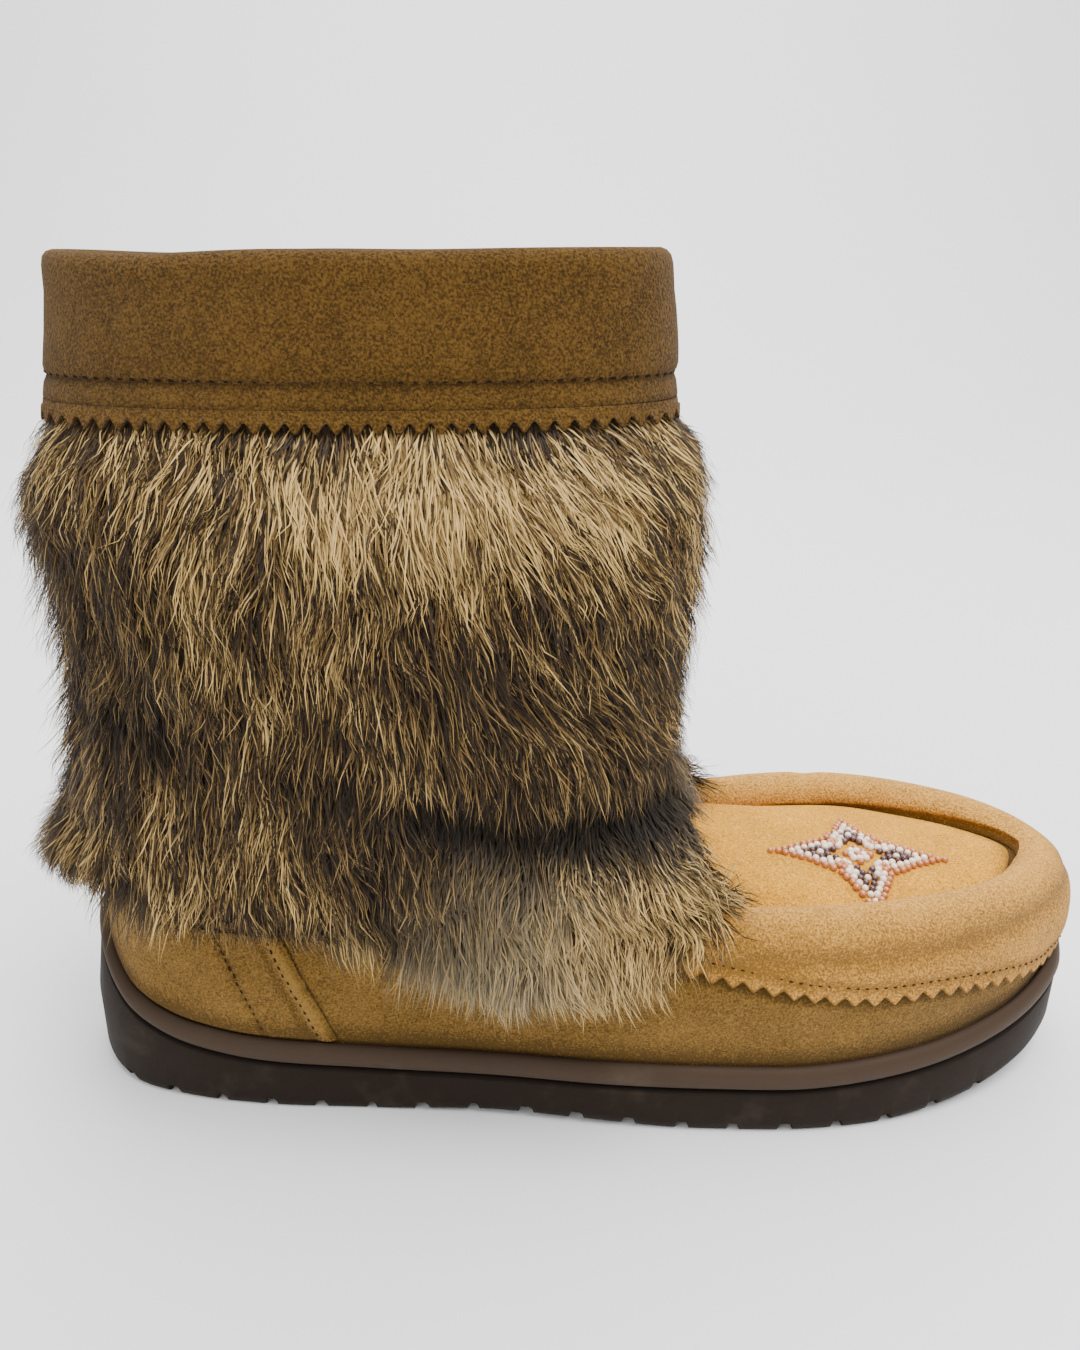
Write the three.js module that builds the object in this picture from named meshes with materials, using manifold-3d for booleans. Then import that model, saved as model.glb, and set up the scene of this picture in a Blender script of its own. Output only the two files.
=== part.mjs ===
// Mukluk boot for the right foot, standing empty on its sole: a suede moccasin foot with a padded
// roll round a domed apron, a rubber cup sole, a fur shaft and a suede cuff folded over the rim.
// Millimetres. +X points to the toe, +Y to the inner side of the foot and +Z up. The origin is the
// middle of the heel's flat on the ground.

import * as THREE from 'three';
import { mergeVertices } from 'three/addons/utils/BufferGeometryUtils.js';
import Module from 'manifold-3d';

const wasm = await Module();
wasm.setup();

// Sizes of the last and the sole
const SOLE_LENGTH = 285;
const BALL_WIDTH = 98;
const HEEL_WIDTH = 70;
const HEEL_CENTRE = 40; // from the back edge of the sole to the origin
const TOE_OFFSET = 8; // how far the tip of the toe lies to the inner side
const TOE_SPRING = 9.5;
const HEEL_BEVEL = 3.5;
const ARCH_RISE = 1.6;
const RAND_HEIGHT = 20.5; // the top of the rand at the waist
const HEEL_CUP_RISE = 29; // how far the rand climbs at the back of the heel
const TOE_CUP_RISE = 11.5; // how far it climbs at the toe
const BEAD_HEIGHT = 7;
const BEAD_BULGE = 1.3;
const GROOVE_DEPTH = 1.5;
const GROOVE_WIDTH = 1.2;
const SOLE_FLOOR = 8.5; // rubber under the foot
const CUP_WALL = 3.4;
const BOTTOM_BEVEL = 2.2;
const HEEL_LEAN = 0.17; // forward lean of the heel's back, as a slope
const LUG_PITCH = 14;
const LUG_WIDTH = 2.8;
const LUG_DEPTH = 2.6;
const LUG_REACH = 13; // how far a lug's groove runs in from the edge

// Sizes of the upper
const WALL = 2.4;
const CLEAR = 0.3; // between pieces that meet
const TOE_HEIGHT = 59.5; // crest of the foot form under the roll
const ROLL_INSET = 15.5; // from the edge of the sole to the seam of the apron
const ANKLE_HEIGHT = 98;
const RIM_HEIGHT = 217;
const SHAFT_LENGTH = 143; // front to back
const SHAFT_BACK = 16.6; // from the back edge of the sole
const RIM_BACK_IN = 6.4; // how far the rim is drawn in at the back
const RIM_FRONT_IN = 4; // and at the front
const RIM_WIDTH = 43;
const ANKLE_WIDTH = 69;
const OVAL_AHEAD = 0.25; // how far the oval's turns lie ahead of the outline's, as a share
const INSOLE_THICKNESS = 4;

// Sizes of what is sewn on
const SUEDE = 1.6;
const ROLL_SWELL = 3.2; // padding of the roll, over the suede
const COUNTER_REACH = 76; // front foot of the heel counter, from the back edge of the sole
const COUNTER_SLANT = 0.4; // how far its front edge leans back, as a slope
const COUNTER_HEIGHT = 70;
const COUNTER_THICKNESS = 1.2;
const PINK_PITCH = 5.3;
const PINK_DEPTH = 2.2;
const VAMP_EDGE_TOE = 34; // height of the vamp's pinked edge at the toe
const VAMP_EDGE_BALL = 39.5;
const VAMP_EDGE_REAR = 51;
const CUFF_RISE = 3; // of the cuff over the rim
const CUFF_TOP = RIM_HEIGHT + CUFF_RISE;
const CUFF_THICKNESS = 2.8;
const CUFF_DEPTH = 32;
const CUFF_HEM = CUFF_TOP - CUFF_DEPTH; // lower edge of the cuff itself
const CUFF_INSIDE = 14; // how far the cuff turns down inside
const BAND_SHOWS = 5; // how far the pinked strip's tips hang below the cuff
const BAND_TUCK = 9; // how far the strip runs up under the cuff
const BAND_HEM = CUFF_HEM - BAND_SHOWS;
const BAND_TOP = CUFF_HEM + BAND_TUCK;
const BAND_THICKNESS = 1.0;
const CUFF_PINK_PITCH = 4.4;
const CUFF_PINK_DEPTH = 2.4;
const FUR_UNDER = 1.5; // from the cuff down to the top of the fur
const FUR_TOP = CUFF_HEM - FUR_UNDER;
const FUR_DEPTH = 11;
const LOCK_LENGTH = 13;
const LOCK_WIDTH = 7;
const LOCK_SIDES = 4;
const LOCK_VARIES = 0.3; // of its length, as a share
const LOCK_SEAT = 0.3; // rings from the hem up to a lock's root
const LOCK_LEAN = 0.25; // how far a lock leans outwards, as a slope
const LOCK_ROOT = 0.5; // depth of a lock's root in the fur, as a share
const STAR_SPAN = 50;
const STAR_WAIST = 0.3; // radius of the inner corners, as a share of the tips'
const STAR_CENTRE = 219; // from the back edge of the sole
const STAR_OFFSET = -4; // of its centre from the heel's middle line
const STAR_HEIGHT = 1.9;

const VAMP_START = 0.252; // turn at which the vamp starts, under the fur
const APRON_START = 0.287;
const ROLL_BELOW = 1.9; // rings below the crest over which the roll is padded
const ROLL_FADE = 0.035; // turn over which the padding sets in
const BAND_CLEAR = 0.5;
const FUR_GAP = 0.6;
const FUR_FRONT = 180; // where the fur ends over the vamp, from the back edge of the sole
const FUR_FOOT = 1.3; // ring at which the sleeve starts, before its hem is cut
const FUR_SKIRT = 7; // how far the sleeve hangs below that ring
const CUP_STEP = 2.2; // room for the cup of the sole under the fur at the heel
const CLUMP = 0.08; // height of the fur's clumps, as a share of its depth
const FUR_OUTSIDE = [FUR_FOOT, 3, 4, 5, 7, 9.5, 12, 12.7, 13.4, 14, 14.5];
const FUR_INSIDE = [0, 2, 3, 5, 7, 9, 10, 11, 12, 14, 15];
const PIECE_GAP = 0.6; // room kept round a piece that others are cut to
const SIDES = ['back', 'outer', 'front', 'inner'];

// Hem of the fur as seen from the side, as shares of the sole's length and the toe's height
const FUR_HEM = [
  { along: -0.08, height: 0.92 },
  { along: -0.02, height: 0.96 },
  { along: 0.03, height: 1.04 },
  { along: 0.085, height: 1.1 },
  { along: 0.14, height: 1.13 },
  { along: 0.2, height: 1.09 },
  { along: 0.28, height: 1.005 },
  { along: 0.32, height: 0.97 },
  { along: 0.36, height: 0.87 },
  { along: 0.41, height: 0.79 },
  { along: 0.465, height: 0.75 },
  { along: 0.51, height: 0.8 },
  { along: 0.55, height: 0.97 },
  { along: 0.59, height: 1.09 },
];

// Rows of locks up the fur, with one lock at every so many columns
const LOCK_ROWS = [
  { up: 0, every: 1, first: 0 },
  { up: 0.3, every: 5, first: 1 },
  { up: 0.52, every: 5, first: 3 },
  { up: 0.78, every: 5, first: 0 },
];

const COLUMNS = 42; // round the boot, shared by every piece so that their faces lie parallel

// Outline of the sole, as shares of its length and of the width near each row
const OUTLINE = [
  { along: 0.018, outer: 0.215, inner: 0.22 },
  { along: 0.055, outer: 0.355, inner: 0.365 },
  { along: 0.115, outer: 0.44, inner: 0.455 },
  { along: 0.2, outer: 0.49, inner: 0.485 },
  { along: 0.3, outer: 0.505, inner: 0.455 },
  { along: 0.41, outer: 0.458, inner: 0.39 },
  { along: 0.52, outer: 0.43, inner: 0.4 },
  { along: 0.62, outer: 0.44, inner: 0.465 },
  { along: 0.71, outer: 0.44, inner: 0.515 },
  { along: 0.8, outer: 0.4, inner: 0.51 },
  { along: 0.88, outer: 0.318, inner: 0.44 },
  { along: 0.945, outer: 0.2, inner: 0.335 },
  { along: 0.985, outer: 0.065, inner: 0.215 },
];

// Top of the rand along the sole, as a share of the climb at the heel and at the toe
const RAND_LINE = [
  { along: 0, heel: 1, toe: 0 },
  { along: 0.03, heel: 0.72, toe: 0 },
  { along: 0.07, heel: 0.38, toe: 0 },
  { along: 0.12, heel: 0.17, toe: 0 },
  { along: 0.2, heel: 0.05, toe: 0 },
  { along: 0.35, heel: 0, toe: 0 },
  { along: 0.68, heel: 0, toe: 0 },
  { along: 0.8, heel: 0, toe: 0.18 },
  { along: 0.9, heel: 0, toe: 0.52 },
  { along: 1, heel: 0, toe: 1 },
];

// Underside of the sole, as shares of the bevel, the arch and the toe spring
const GROUND_LINE = [
  { along: 0, bevel: 1, arch: 0, spring: 0 },
  { along: 0.03, bevel: 0.25, arch: 0, spring: 0 },
  { along: 0.06, bevel: 0, arch: 0, spring: 0 },
  { along: 0.3, bevel: 0, arch: 0, spring: 0 },
  { along: 0.42, bevel: 0, arch: 1, spring: 0 },
  { along: 0.5, bevel: 0, arch: 0.8, spring: 0 },
  { along: 0.6, bevel: 0, arch: 0, spring: 0 },
  { along: 0.76, bevel: 0, arch: 0, spring: 0 },
  { along: 0.86, bevel: 0, arch: 0, spring: 0.22 },
  { along: 0.94, bevel: 0, arch: 0, spring: 0.58 },
  { along: 1, bevel: 0, arch: 0, spring: 1 },
];

// Rings of the foot from the top of the rand to the ankle. blend is the share of the way from the
// sole's outline to the shaft's oval, and wide is the share of the oval's width that counts
// towards it at the front. The insets are shares of the cup's wall at the back and of
// the roll's inset at the front, and the heights are shares of the rise from the rand to the ankle
// at the back and to the top of the toe at the front.
const FOOT_RINGS = [
  { name: 'wall', blend: 0, wide: 1, backIn: 1.05, backUp: 0.2, frontIn: 0.15, frontUp: 0.4 },
  { name: 'side', blend: 0, wide: 1, backIn: 1.15, backUp: 0.33, frontIn: 0.2, frontUp: 0.7 },
  { name: 'shoulder', blend: 0, wide: 1, backIn: 1.4, backUp: 0.42, frontIn: 0.4, frontUp: 0.92 },
  { name: 'crest', blend: 0, wide: 1, backIn: 1.8, backUp: 0.5, frontIn: 0.7, frontUp: 1 },
  { name: 'seam', blend: 0, wide: 1, backIn: 2.2, backUp: 0.57, frontIn: 1, frontUp: 0.87 },
  { name: 'apron', blend: 0.1, wide: 0.7, backIn: 2.3, backUp: 0.63, frontIn: 1.25, frontUp: 0.93 },
  { name: 'dome', blend: 0.3, wide: 0.72, backIn: 2, backUp: 0.69, frontIn: 1.3, frontUp: 0.985 },
  { name: 'vamp', blend: 0.55, wide: 0.8, backIn: 1.2, backUp: 0.76, frontIn: 1, frontUp: 1.03 },
  { name: 'instep', blend: 0.78, wide: 0.88, backIn: 0.6, backUp: 0.84, frontIn: 0.5, frontUp: 1.09 },
  { name: 'throat', blend: 0.93, wide: 0.96, backIn: 0, backUp: 0.92, frontIn: 0, frontUp: 1.36 },
  { name: 'ankle', blend: 1, wide: 1, backIn: 0, backUp: 1, frontIn: 0, frontUp: 1.95 },
];

// Rings of the shaft from the ankle to the rim, as shares of the rise between them, of the swell
// at the ankle and of how far the rim is drawn in
const SHAFT_RINGS = [
  { up: 0.35, swell: 0.78, drawn: 0 },
  { up: 0.68, swell: 0.45, drawn: 0 },
  { up: 1, swell: 0, drawn: 1 },
];

// Depth of the fur as shares of its full depth, at the back, the outer side, the front and the
// inner side, by height as a share of the height of its top
const FUR_DEPTHS = [
  { height: 0.22, back: 0.8, outer: 0.6, front: 0.6, inner: 0.6 },
  { height: 0.3, back: 1.1, outer: 0.9, front: 0.8, inner: 0.85 },
  { height: 0.37, back: 1.7, outer: 1.1, front: 0.95, inner: 1 },
  { height: 0.45, back: 1.8, outer: 1, front: 0.85, inner: 0.95 },
  { height: 0.55, back: 0.85, outer: 0.9, front: 0.8, inner: 0.85 },
  { height: 0.7, back: 0.6, outer: 0.85, front: 0.9, inner: 0.85 },
  { height: 0.9, back: 1.05, outer: 1, front: 1.1, inner: 0.95 },
  { height: 0.97, back: 0.85, outer: 0.8, front: 0.9, inner: 0.8 },
  { height: 1, back: 0.35, outer: 0.35, front: 0.35, inner: 0.35 },
];

const mix = THREE.MathUtils.lerp;
const smooth = THREE.MathUtils.smoothstep;

// A value between the rows of a table, eased from row to row.
function between(table, key, at, value) {
  if (at <= table[0][key]) {
    return value(table[0]);
  }
  for (let k = 1; k < table.length; k += 1) {
    if (at <= table[k][key]) {
      const before = table[Math.max(k - 2, 0)];
      const low = table[k - 1];
      const high = table[k];
      const after = table[Math.min(k + 1, table.length - 1)];
      const span = high[key] - low[key];
      const t = (at - low[key]) / span;
      const slopeLow = limited(before, low, high, key, value) * span;
      const slopeHigh = limited(low, high, after, key, value) * span;
      const rise = value(high) - value(low);
      return value(low) + t * (slopeLow + t * (3 * rise - 2 * slopeLow - slopeHigh
        + t * (slopeLow + slopeHigh - 2 * rise)));
    }
  }
  return value(table[table.length - 1]);
}

// The slope at the middle of three rows, flat where they turn so that no value overshoots.
function limited(a, b, c, key, value) {
  const left = b[key] > a[key] ? (value(b) - value(a)) / (b[key] - a[key]) : 0;
  const right = c[key] > b[key] ? (value(c) - value(b)) / (c[key] - b[key]) : 0;
  return left * right <= 0 ? 0 : (2 * left * right) / (left + right);
}

// The outline of the sole
function widthNear(along) {
  return mix(HEEL_WIDTH, BALL_WIDTH, smooth(along, 0.28, 0.56));
}

function outlinePoint(row, side) {
  const half = side < 0 ? row.outer : row.inner;
  return new THREE.Vector3(row.along * SOLE_LENGTH - HEEL_CENTRE, side * half * widthNear(row.along), 0);
}

const outlineCurve = new THREE.CatmullRomCurve3([
  new THREE.Vector3(-HEEL_CENTRE, 0, 0),
  ...OUTLINE.map((row) => outlinePoint(row, -1)),
  new THREE.Vector3(SOLE_LENGTH - HEEL_CENTRE, TOE_OFFSET, 0),
  ...OUTLINE.map((row) => outlinePoint(row, 1)).reverse(),
], true, 'centripetal');

// A place on the outline, moved inwards. turn runs from 0 at the heel's back round the outer
// side to 0.5 at the toe and on round the inner side.
function outlineAt(turn, inset) {
  const t = ((turn % 1) + 1) % 1;
  const point = outlineCurve.getPoint(t);
  const tangent = outlineCurve.getTangent(t);
  return new THREE.Vector3(point.x - tangent.y * inset, point.y + tangent.x * inset, 0);
}

function alongAt(turn) {
  return (outlineAt(turn, 0).x + HEEL_CENTRE) / SOLE_LENGTH;
}

const turns = Array.from({ length: COLUMNS }, (_, k) => k / COLUMNS);

function groundAt(along) {
  return between(GROUND_LINE, 'along', along, (row) => (
    row.bevel * HEEL_BEVEL + row.arch * ARCH_RISE + row.spring * TOE_SPRING));
}

function randTopAt(along) {
  return between(RAND_LINE, 'along', along, (row) => (
    RAND_HEIGHT + row.heel * HEEL_CUP_RISE + row.toe * TOE_CUP_RISE));
}

function floorAt(along) {
  return groundAt(along) * 0.9 + SOLE_FLOOR;
}

// How far the back of the heel has come forward at a height
function leanAt(along, height) {
  return HEEL_LEAN * Math.max(0, height - RAND_HEIGHT) * (1 - smooth(along, 0, 0.1));
}

// The oval of the shaft, flattened from side to side, with a share of its swell at the ankle.
// Its turns lie further forward than the outline's, so that each stands above its own on the foot.
function ovalAt(turn, swell, drawn = 0) {
  const half = 1 - Math.abs(1 - 2 * turn);
  const ahead = OVAL_AHEAD * half * Math.sin(Math.PI * half);
  const angle = Math.PI * (turn > 0.5 ? 2 - half - ahead : half + ahead);
  const width = mix(RIM_WIDTH, ANKLE_WIDTH, swell);
  const flat = 0.86;
  const across = Math.sign(Math.sin(angle)) * Math.abs(Math.sin(angle)) ** flat;
  const back = SHAFT_BACK + drawn * RIM_BACK_IN - HEEL_CENTRE;
  const length = SHAFT_LENGTH - drawn * (RIM_BACK_IN + RIM_FRONT_IN);
  return new THREE.Vector3(
    back + (length / 2) * (1 - Math.cos(angle)),
    (-width / 2) * across,
    0,
  );
}

// How far a turn has come from the back of the boot, 0, to its front, 1
function frontShare(turn) {
  return smooth(alongAt(turn), 0.34, 0.6);
}

// One place of a ring that stands in the cup of the sole
function cupPlace(turn, heightAt) {
  const along = alongAt(turn);
  const height = heightAt(along);
  const place = outlineAt(turn, CUP_WALL + CLEAR + leanAt(along, height));
  place.z = height;
  return place;
}

// One place of a ring of the foot above the cup
function footPlace(turn, ring) {
  const along = alongAt(turn);
  const front = frontShare(turn);
  const inset = mix(ring.backIn * CUP_WALL, ring.frontIn * ROLL_INSET, front);
  const low = randTopAt(along) + CLEAR;
  const height = mix(
    mix(low, ANKLE_HEIGHT, ring.backUp),
    mix(low, TOE_HEIGHT, ring.frontUp),
    front,
  );
  const oval = ovalAt(turn, 1);
  oval.y *= mix(1, ring.wide, front);
  const place = outlineAt(turn, inset + leanAt(along, height)).lerp(oval, ring.blend);
  place.z = height;
  return place;
}

// One place of a ring of the shaft
function shaftPlace(turn, ring) {
  const ankle = footPlace(turn, FOOT_RINGS[FOOT_RINGS.length - 1]).z;
  const place = ovalAt(turn, ring.swell, ring.drawn);
  place.z = mix(ankle, RIM_HEIGHT, ring.up);
  return place;
}

const SURE_CROSSING = 0.55; // sine of the angle between a ring and a column

// A skin is a grid of places, rings by columns, with the way outwards at each
class Skin {
  constructor(rings) {
    this.rings = rings;
    this.outwards = rings.map((ring, r) => ring.map((_, c) => this.outwardAt(r, c)));
    for (let c = 0; c < COLUMNS; c += 1) {
      this.settle(c);
    }
  }

  // The way outwards, which is short where the rings run close beside each other
  outwardAt(r, c) {
    const { rings } = this;
    const ring = rings[r];
    const round = ring[(c + 1) % ring.length].clone()
      .sub(ring[(c + ring.length - 1) % ring.length]).normalize();
    const up = rings[Math.min(r + 1, rings.length - 1)][c].clone()
      .sub(rings[Math.max(r - 1, 0)][c]).normalize();
    return round.cross(up);
  }

  // Where it is too short to trust, it is taken from the rings below and above
  settle(c) {
    const column = this.outwards.map((ring) => ring[c]);
    const sure = column.map((way) => way.length() > SURE_CROSSING);
    column.forEach((way, r) => {
      const low = sure.lastIndexOf(true, r);
      const high = sure.indexOf(true, r);
      if (low >= 0 && high > low) {
        const lowWay = this.outwards[low][c].clone().normalize();
        const highWay = this.outwards[high][c].clone().normalize();
        way.copy(lowWay.lerp(highWay, (r - low) / (high - low)));
      }
      way.normalize();
    });
  }

  // The place at a turn and a ring, both of which may lie between grid lines, moved outwards
  at(turn, ring, out = 0) {
    const column = (((turn % 1) + 1) % 1) * COLUMNS;
    const c = Math.floor(column + 1e-9);
    const r = Math.min(Math.floor(ring + 1e-9), this.rings.length - 2);
    const place = this.blend(this.rings, r, c, ring - r, column - c);
    const way = this.blend(this.outwards, r, c, ring - r, column - c).normalize();
    return place.addScaledVector(way, out);
  }

  blend(grid, r, c, up, round) {
    const a = c % COLUMNS;
    const b = (c + 1) % COLUMNS;
    const low = grid[r][a].clone().lerp(grid[r][b], round);
    const high = grid[r + 1][a].clone().lerp(grid[r + 1][b], round);
    return low.lerp(high, up);
  }

  // The ring at which a turn reaches a height, counted from below
  ringAt(turn, height, start = 0) {
    const stop = this.rings.length - 1;
    for (let r = start; r < stop; r += 1) {
      const low = this.at(turn, r).z;
      const high = this.at(turn, r + 1).z;
      if (low <= height && height <= high) {
        return r + (height - low) / (high - low);
      }
    }
    return stop;
  }
}

const skin = new Skin([
  turns.map((turn) => cupPlace(turn, (along) => floorAt(along) + CLEAR)),
  turns.map((turn) => cupPlace(turn, (along) => randTopAt(along) + CLEAR)),
  ...FOOT_RINGS.map((ring) => turns.map((turn) => footPlace(turn, ring))),
  ...SHAFT_RINGS.map((ring) => turns.map((turn) => shaftPlace(turn, ring))),
]);
const CUP_RINGS = 2;
const ringNamed = (name) => CUP_RINGS + FOOT_RINGS.findIndex((ring) => ring.name === name);
const RIM_RING = skin.rings.length - 1;
// Rings at which the inside runs on straight
const PLAIN_INSIDE = ['side', 'dome', 'throat'].map(ringNamed);

const evenShares = (count) => Array.from({ length: count }, (_, k) => k / (count - 1));

// Collects places and faces, and turns them into a closed mesh
class Surface {
  constructor() {
    this.places = [];
    this.faces = [];
  }

  add(places) {
    return places.map((place) => this.places.push(place) - 1);
  }

  // Joins two rows of places that run the same way. Rows of different lengths state how far
  // along each of their places lies.
  bridge(a, b, closed = false, lowShares = evenShares(a.length + closed),
    highShares = evenShares(b.length + closed)) {
    const low = closed ? [...a, a[0]] : a;
    const high = closed ? [...b, b[0]] : b;
    if (low.length === high.length) {
      this.quads(low, high);
      return;
    }
    let i = 0;
    let j = 0;
    while (i < low.length - 1 || j < high.length - 1) {
      const lowNext = i < low.length - 1 ? lowShares[i + 1] : Infinity;
      const highNext = j < high.length - 1 ? highShares[j + 1] : Infinity;
      if (lowNext <= highNext + 1e-9) {
        this.faces.push([low[i], low[i + 1], high[j]]);
        i += 1;
      } else {
        this.faces.push([low[i], high[j + 1], high[j]]);
        j += 1;
      }
    }
  }

  // Joins two rows with as many steps as each other, across the shorter diagonals
  quads(low, high) {
    for (let k = 1; k < low.length; k += 1) {
      const [a, b, c, d] = [low[k - 1], low[k], high[k], high[k - 1]];
      if (this.gap(a, c) <= this.gap(b, d)) {
        this.faces.push([a, b, c], [a, c, d]);
      } else {
        this.faces.push([a, b, d], [b, c, d]);
      }
    }
  }

  gap(a, b) {
    return this.places[a].distanceTo(this.places[b]);
  }

  // Closes a ring with rungs from its outer side to its inner side
  ladder(ring, facingUp) {
    const half = ring.length / 2;
    for (let k = 0; k < half; k += 1) {
      const a = ring[k];
      const b = ring[k + 1];
      const c = ring[ring.length - k - 1];
      const d = ring[(ring.length - k) % ring.length];
      const flip = (face) => (facingUp ? face : [...face].reverse());
      if (a !== d) {
        this.faces.push(flip([a, b, d]));
      }
      if (b !== c) {
        this.faces.push(flip([b, c, d]));
      }
    }
  }

  geometry() {
    const geometry = new THREE.BufferGeometry();
    const numbers = this.places.flatMap((place) => place.toArray());
    geometry.setAttribute('position', new THREE.Float32BufferAttribute(numbers, 3));
    geometry.setIndex(this.faces.flat());
    return geometry;
  }
}

// A solid from rings that follow its cross-section all the way round
function hoop(rings) {
  const surface = new Surface();
  const rows = rings.map((ring) => surface.add(ring));
  rows.forEach((row, k) => surface.bridge(row, rows[(k + 1) % rows.length], true));
  return surface.geometry();
}

// A solid from rings that close across the boot at the first and the last
function tub(rings) {
  const surface = new Surface();
  const rows = rings.map((ring) => surface.add(ring));
  for (let k = 1; k < rows.length; k += 1) {
    surface.bridge(rows[k - 1], rows[k], true);
  }
  surface.ladder(rows[0], false);
  surface.ladder(rows[rows.length - 1], true);
  return surface.geometry();
}

// A panel over the skin. rows hold places { turn, ring }, each row from the outer side round
// to the inner side, gap(place) is how far it stands off and thickness(place) is its own.
function panel(rows, thickness, gap) {
  const surface = new Surface();
  const lay = (out) => rows.map((row) => surface.add(
    row.map((place) => skin.at(place.turn, place.ring, out(place))),
  ));
  const under = lay(gap);
  const over = lay((place) => gap(place) + thickness(place));
  const shares = rows.map((row) => row.map((place) => place.turn));
  for (let k = 1; k < rows.length; k += 1) {
    surface.bridge(over[k - 1], over[k], false, shares[k - 1], shares[k]);
    surface.bridge(under[k], under[k - 1], false, shares[k], shares[k - 1]);
  }
  const last = rows.length - 1;
  surface.bridge(under[0], over[0]);
  surface.bridge(over[last], under[last]);
  const starts = (layer) => layer.map((row) => row[0]);
  const ends = (layer) => layer.map((row) => row[row.length - 1]);
  surface.bridge(starts(over), starts(under));
  surface.bridge(ends(under), ends(over));
  return surface.geometry();
}

// Solids that are cut or joined
function solid(geometry) {
  const plain = geometry.clone();
  plain.deleteAttribute('normal');
  plain.deleteAttribute('uv');
  const merged = mergeVertices(plain, 1e-4);
  return new wasm.Manifold(new wasm.Mesh({
    numProp: 3,
    vertProperties: new Float32Array(merged.attributes.position.array),
    triVerts: new Uint32Array(merged.index.array),
  }));
}

function geometryOf(manifold) {
  const mesh = manifold.getMesh();
  const geometry = new THREE.BufferGeometry();
  geometry.setAttribute('position', new THREE.BufferAttribute(mesh.vertProperties, 3));
  geometry.setIndex(new THREE.BufferAttribute(mesh.triVerts, 1));
  return geometry;
}

// What a panel leaves clear of the skin when it is sewn on
function sewn(rows, thickness, gap = CLEAR) {
  const room = solid(tub(skin.rings.map((_, ring) => turns.map((turn) => skin.at(turn, ring, gap)))));
  return solid(panel(rows, (at) => gap + WALL / 2 + thickness(at), () => -WALL / 2)).subtract(room);
}

// The cup sole: bottom, side wall, groove, bead and the cup that the upper stands in
function soleRing(inset, height) {
  return turns.map((turn) => {
    const along = alongAt(turn);
    const z = height(along);
    const place = outlineAt(turn, inset + leanAt(along, z));
    place.z = z;
    return place;
  });
}

function makeOutsole() {
  const beadFoot = (along) => randTopAt(along) - BEAD_HEIGHT;
  let body = solid(tub([
    soleRing(BOTTOM_BEVEL, groundAt),
    soleRing(BOTTOM_BEVEL / 3, (along) => groundAt(along) + BOTTOM_BEVEL),
    soleRing(BOTTOM_BEVEL / 4, (along) => mix(groundAt(along) + BOTTOM_BEVEL, beadFoot(along), 0.7)),
    soleRing(BOTTOM_BEVEL / 4, (along) => beadFoot(along) - GROOVE_WIDTH / 2),
    soleRing(GROOVE_DEPTH + BOTTOM_BEVEL / 4, beadFoot),
    soleRing(BEAD_BULGE / 2, (along) => beadFoot(along) + GROOVE_WIDTH),
    soleRing(0, (along) => beadFoot(along) + BEAD_HEIGHT / 2),
    soleRing(BEAD_BULGE / 2, (along) => randTopAt(along) - GROOVE_WIDTH),
    soleRing(BEAD_BULGE + GROOVE_DEPTH / 2, randTopAt),
    soleRing(CUP_WALL, randTopAt),
    soleRing(CUP_WALL, floorAt),
  ]));
  for (const cutter of lugGrooves()) {
    body = body.subtract(cutter);
  }
  return geometryOf(body);
}

// Grooves across the sole's edge on both sides, from the heel to where the toe has lifted
function lugGrooves() {
  const cutters = [];
  const count = Math.floor((0.9 * SOLE_LENGTH) / LUG_PITCH);
  for (let k = 1; k <= count; k += 1) {
    const along = (k * LUG_PITCH) / SOLE_LENGTH;
    for (const side of [-1, 1]) {
      const half = between(OUTLINE, 'along', along, (row) => (side < 0 ? row.outer : row.inner));
      const box = new THREE.BoxGeometry(LUG_WIDTH, LUG_REACH + BALL_WIDTH / 4, 2 * LUG_DEPTH);
      box.translate(
        along * SOLE_LENGTH - HEEL_CENTRE,
        side * (half * widthNear(along) - LUG_REACH / 2 + BALL_WIDTH / 8),
        groundAt(along),
      );
      cutters.push(solid(box));
    }
  }
  return cutters;
}

// The hollow upper: its outer rings from the feather edge to the rim, then the inner rings down
function makeUpper() {
  const outer = skin.rings.map((ring) => ring.map((place) => place.clone()));
  const lining = (r) => turns.map((turn, k) => {
    const place = skin.at(turn, r, -WALL);
    if (r === 0 || r === RIM_RING) {
      place.z = outer[r][k].z;
    }
    return place;
  });
  const seen = skin.rings.map((_, r) => r).filter((r) => !PLAIN_INSIDE.includes(r));
  return hoop([...outer, ...seen.reverse().map(lining)]);
}

function makeInsole() {
  const inset = CUP_WALL + 2 * CLEAR + WALL + 0.3;
  const ring = (lift) => turns.map((turn) => {
    const along = alongAt(turn);
    const z = floorAt(along) + CLEAR + lift;
    const place = outlineAt(turn, inset + leanAt(along, z));
    place.z = z;
    return place;
  });
  return tub([ring(0), ring(INSOLE_THICKNESS)]);
}

// The pinked vamp runs from its edge on the side wall over the padded roll into the apron's seam.
// Its two ends lie under the fur.
const WALL_RING = ringNamed('wall');
const SIDE_RING = ringNamed('side');
const CREST_RING = ringNamed('crest');
const SEAM_RING = ringNamed('seam');

function vampEdgeHeight(turn) {
  const along = alongAt(turn);
  const toe = smooth(along, 0.8, 1);
  const rear = 1 - smooth(along, 0.5, 0.78);
  return mix(mix(VAMP_EDGE_BALL, VAMP_EDGE_TOE, toe), VAMP_EDGE_REAR, rear);
}

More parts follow.
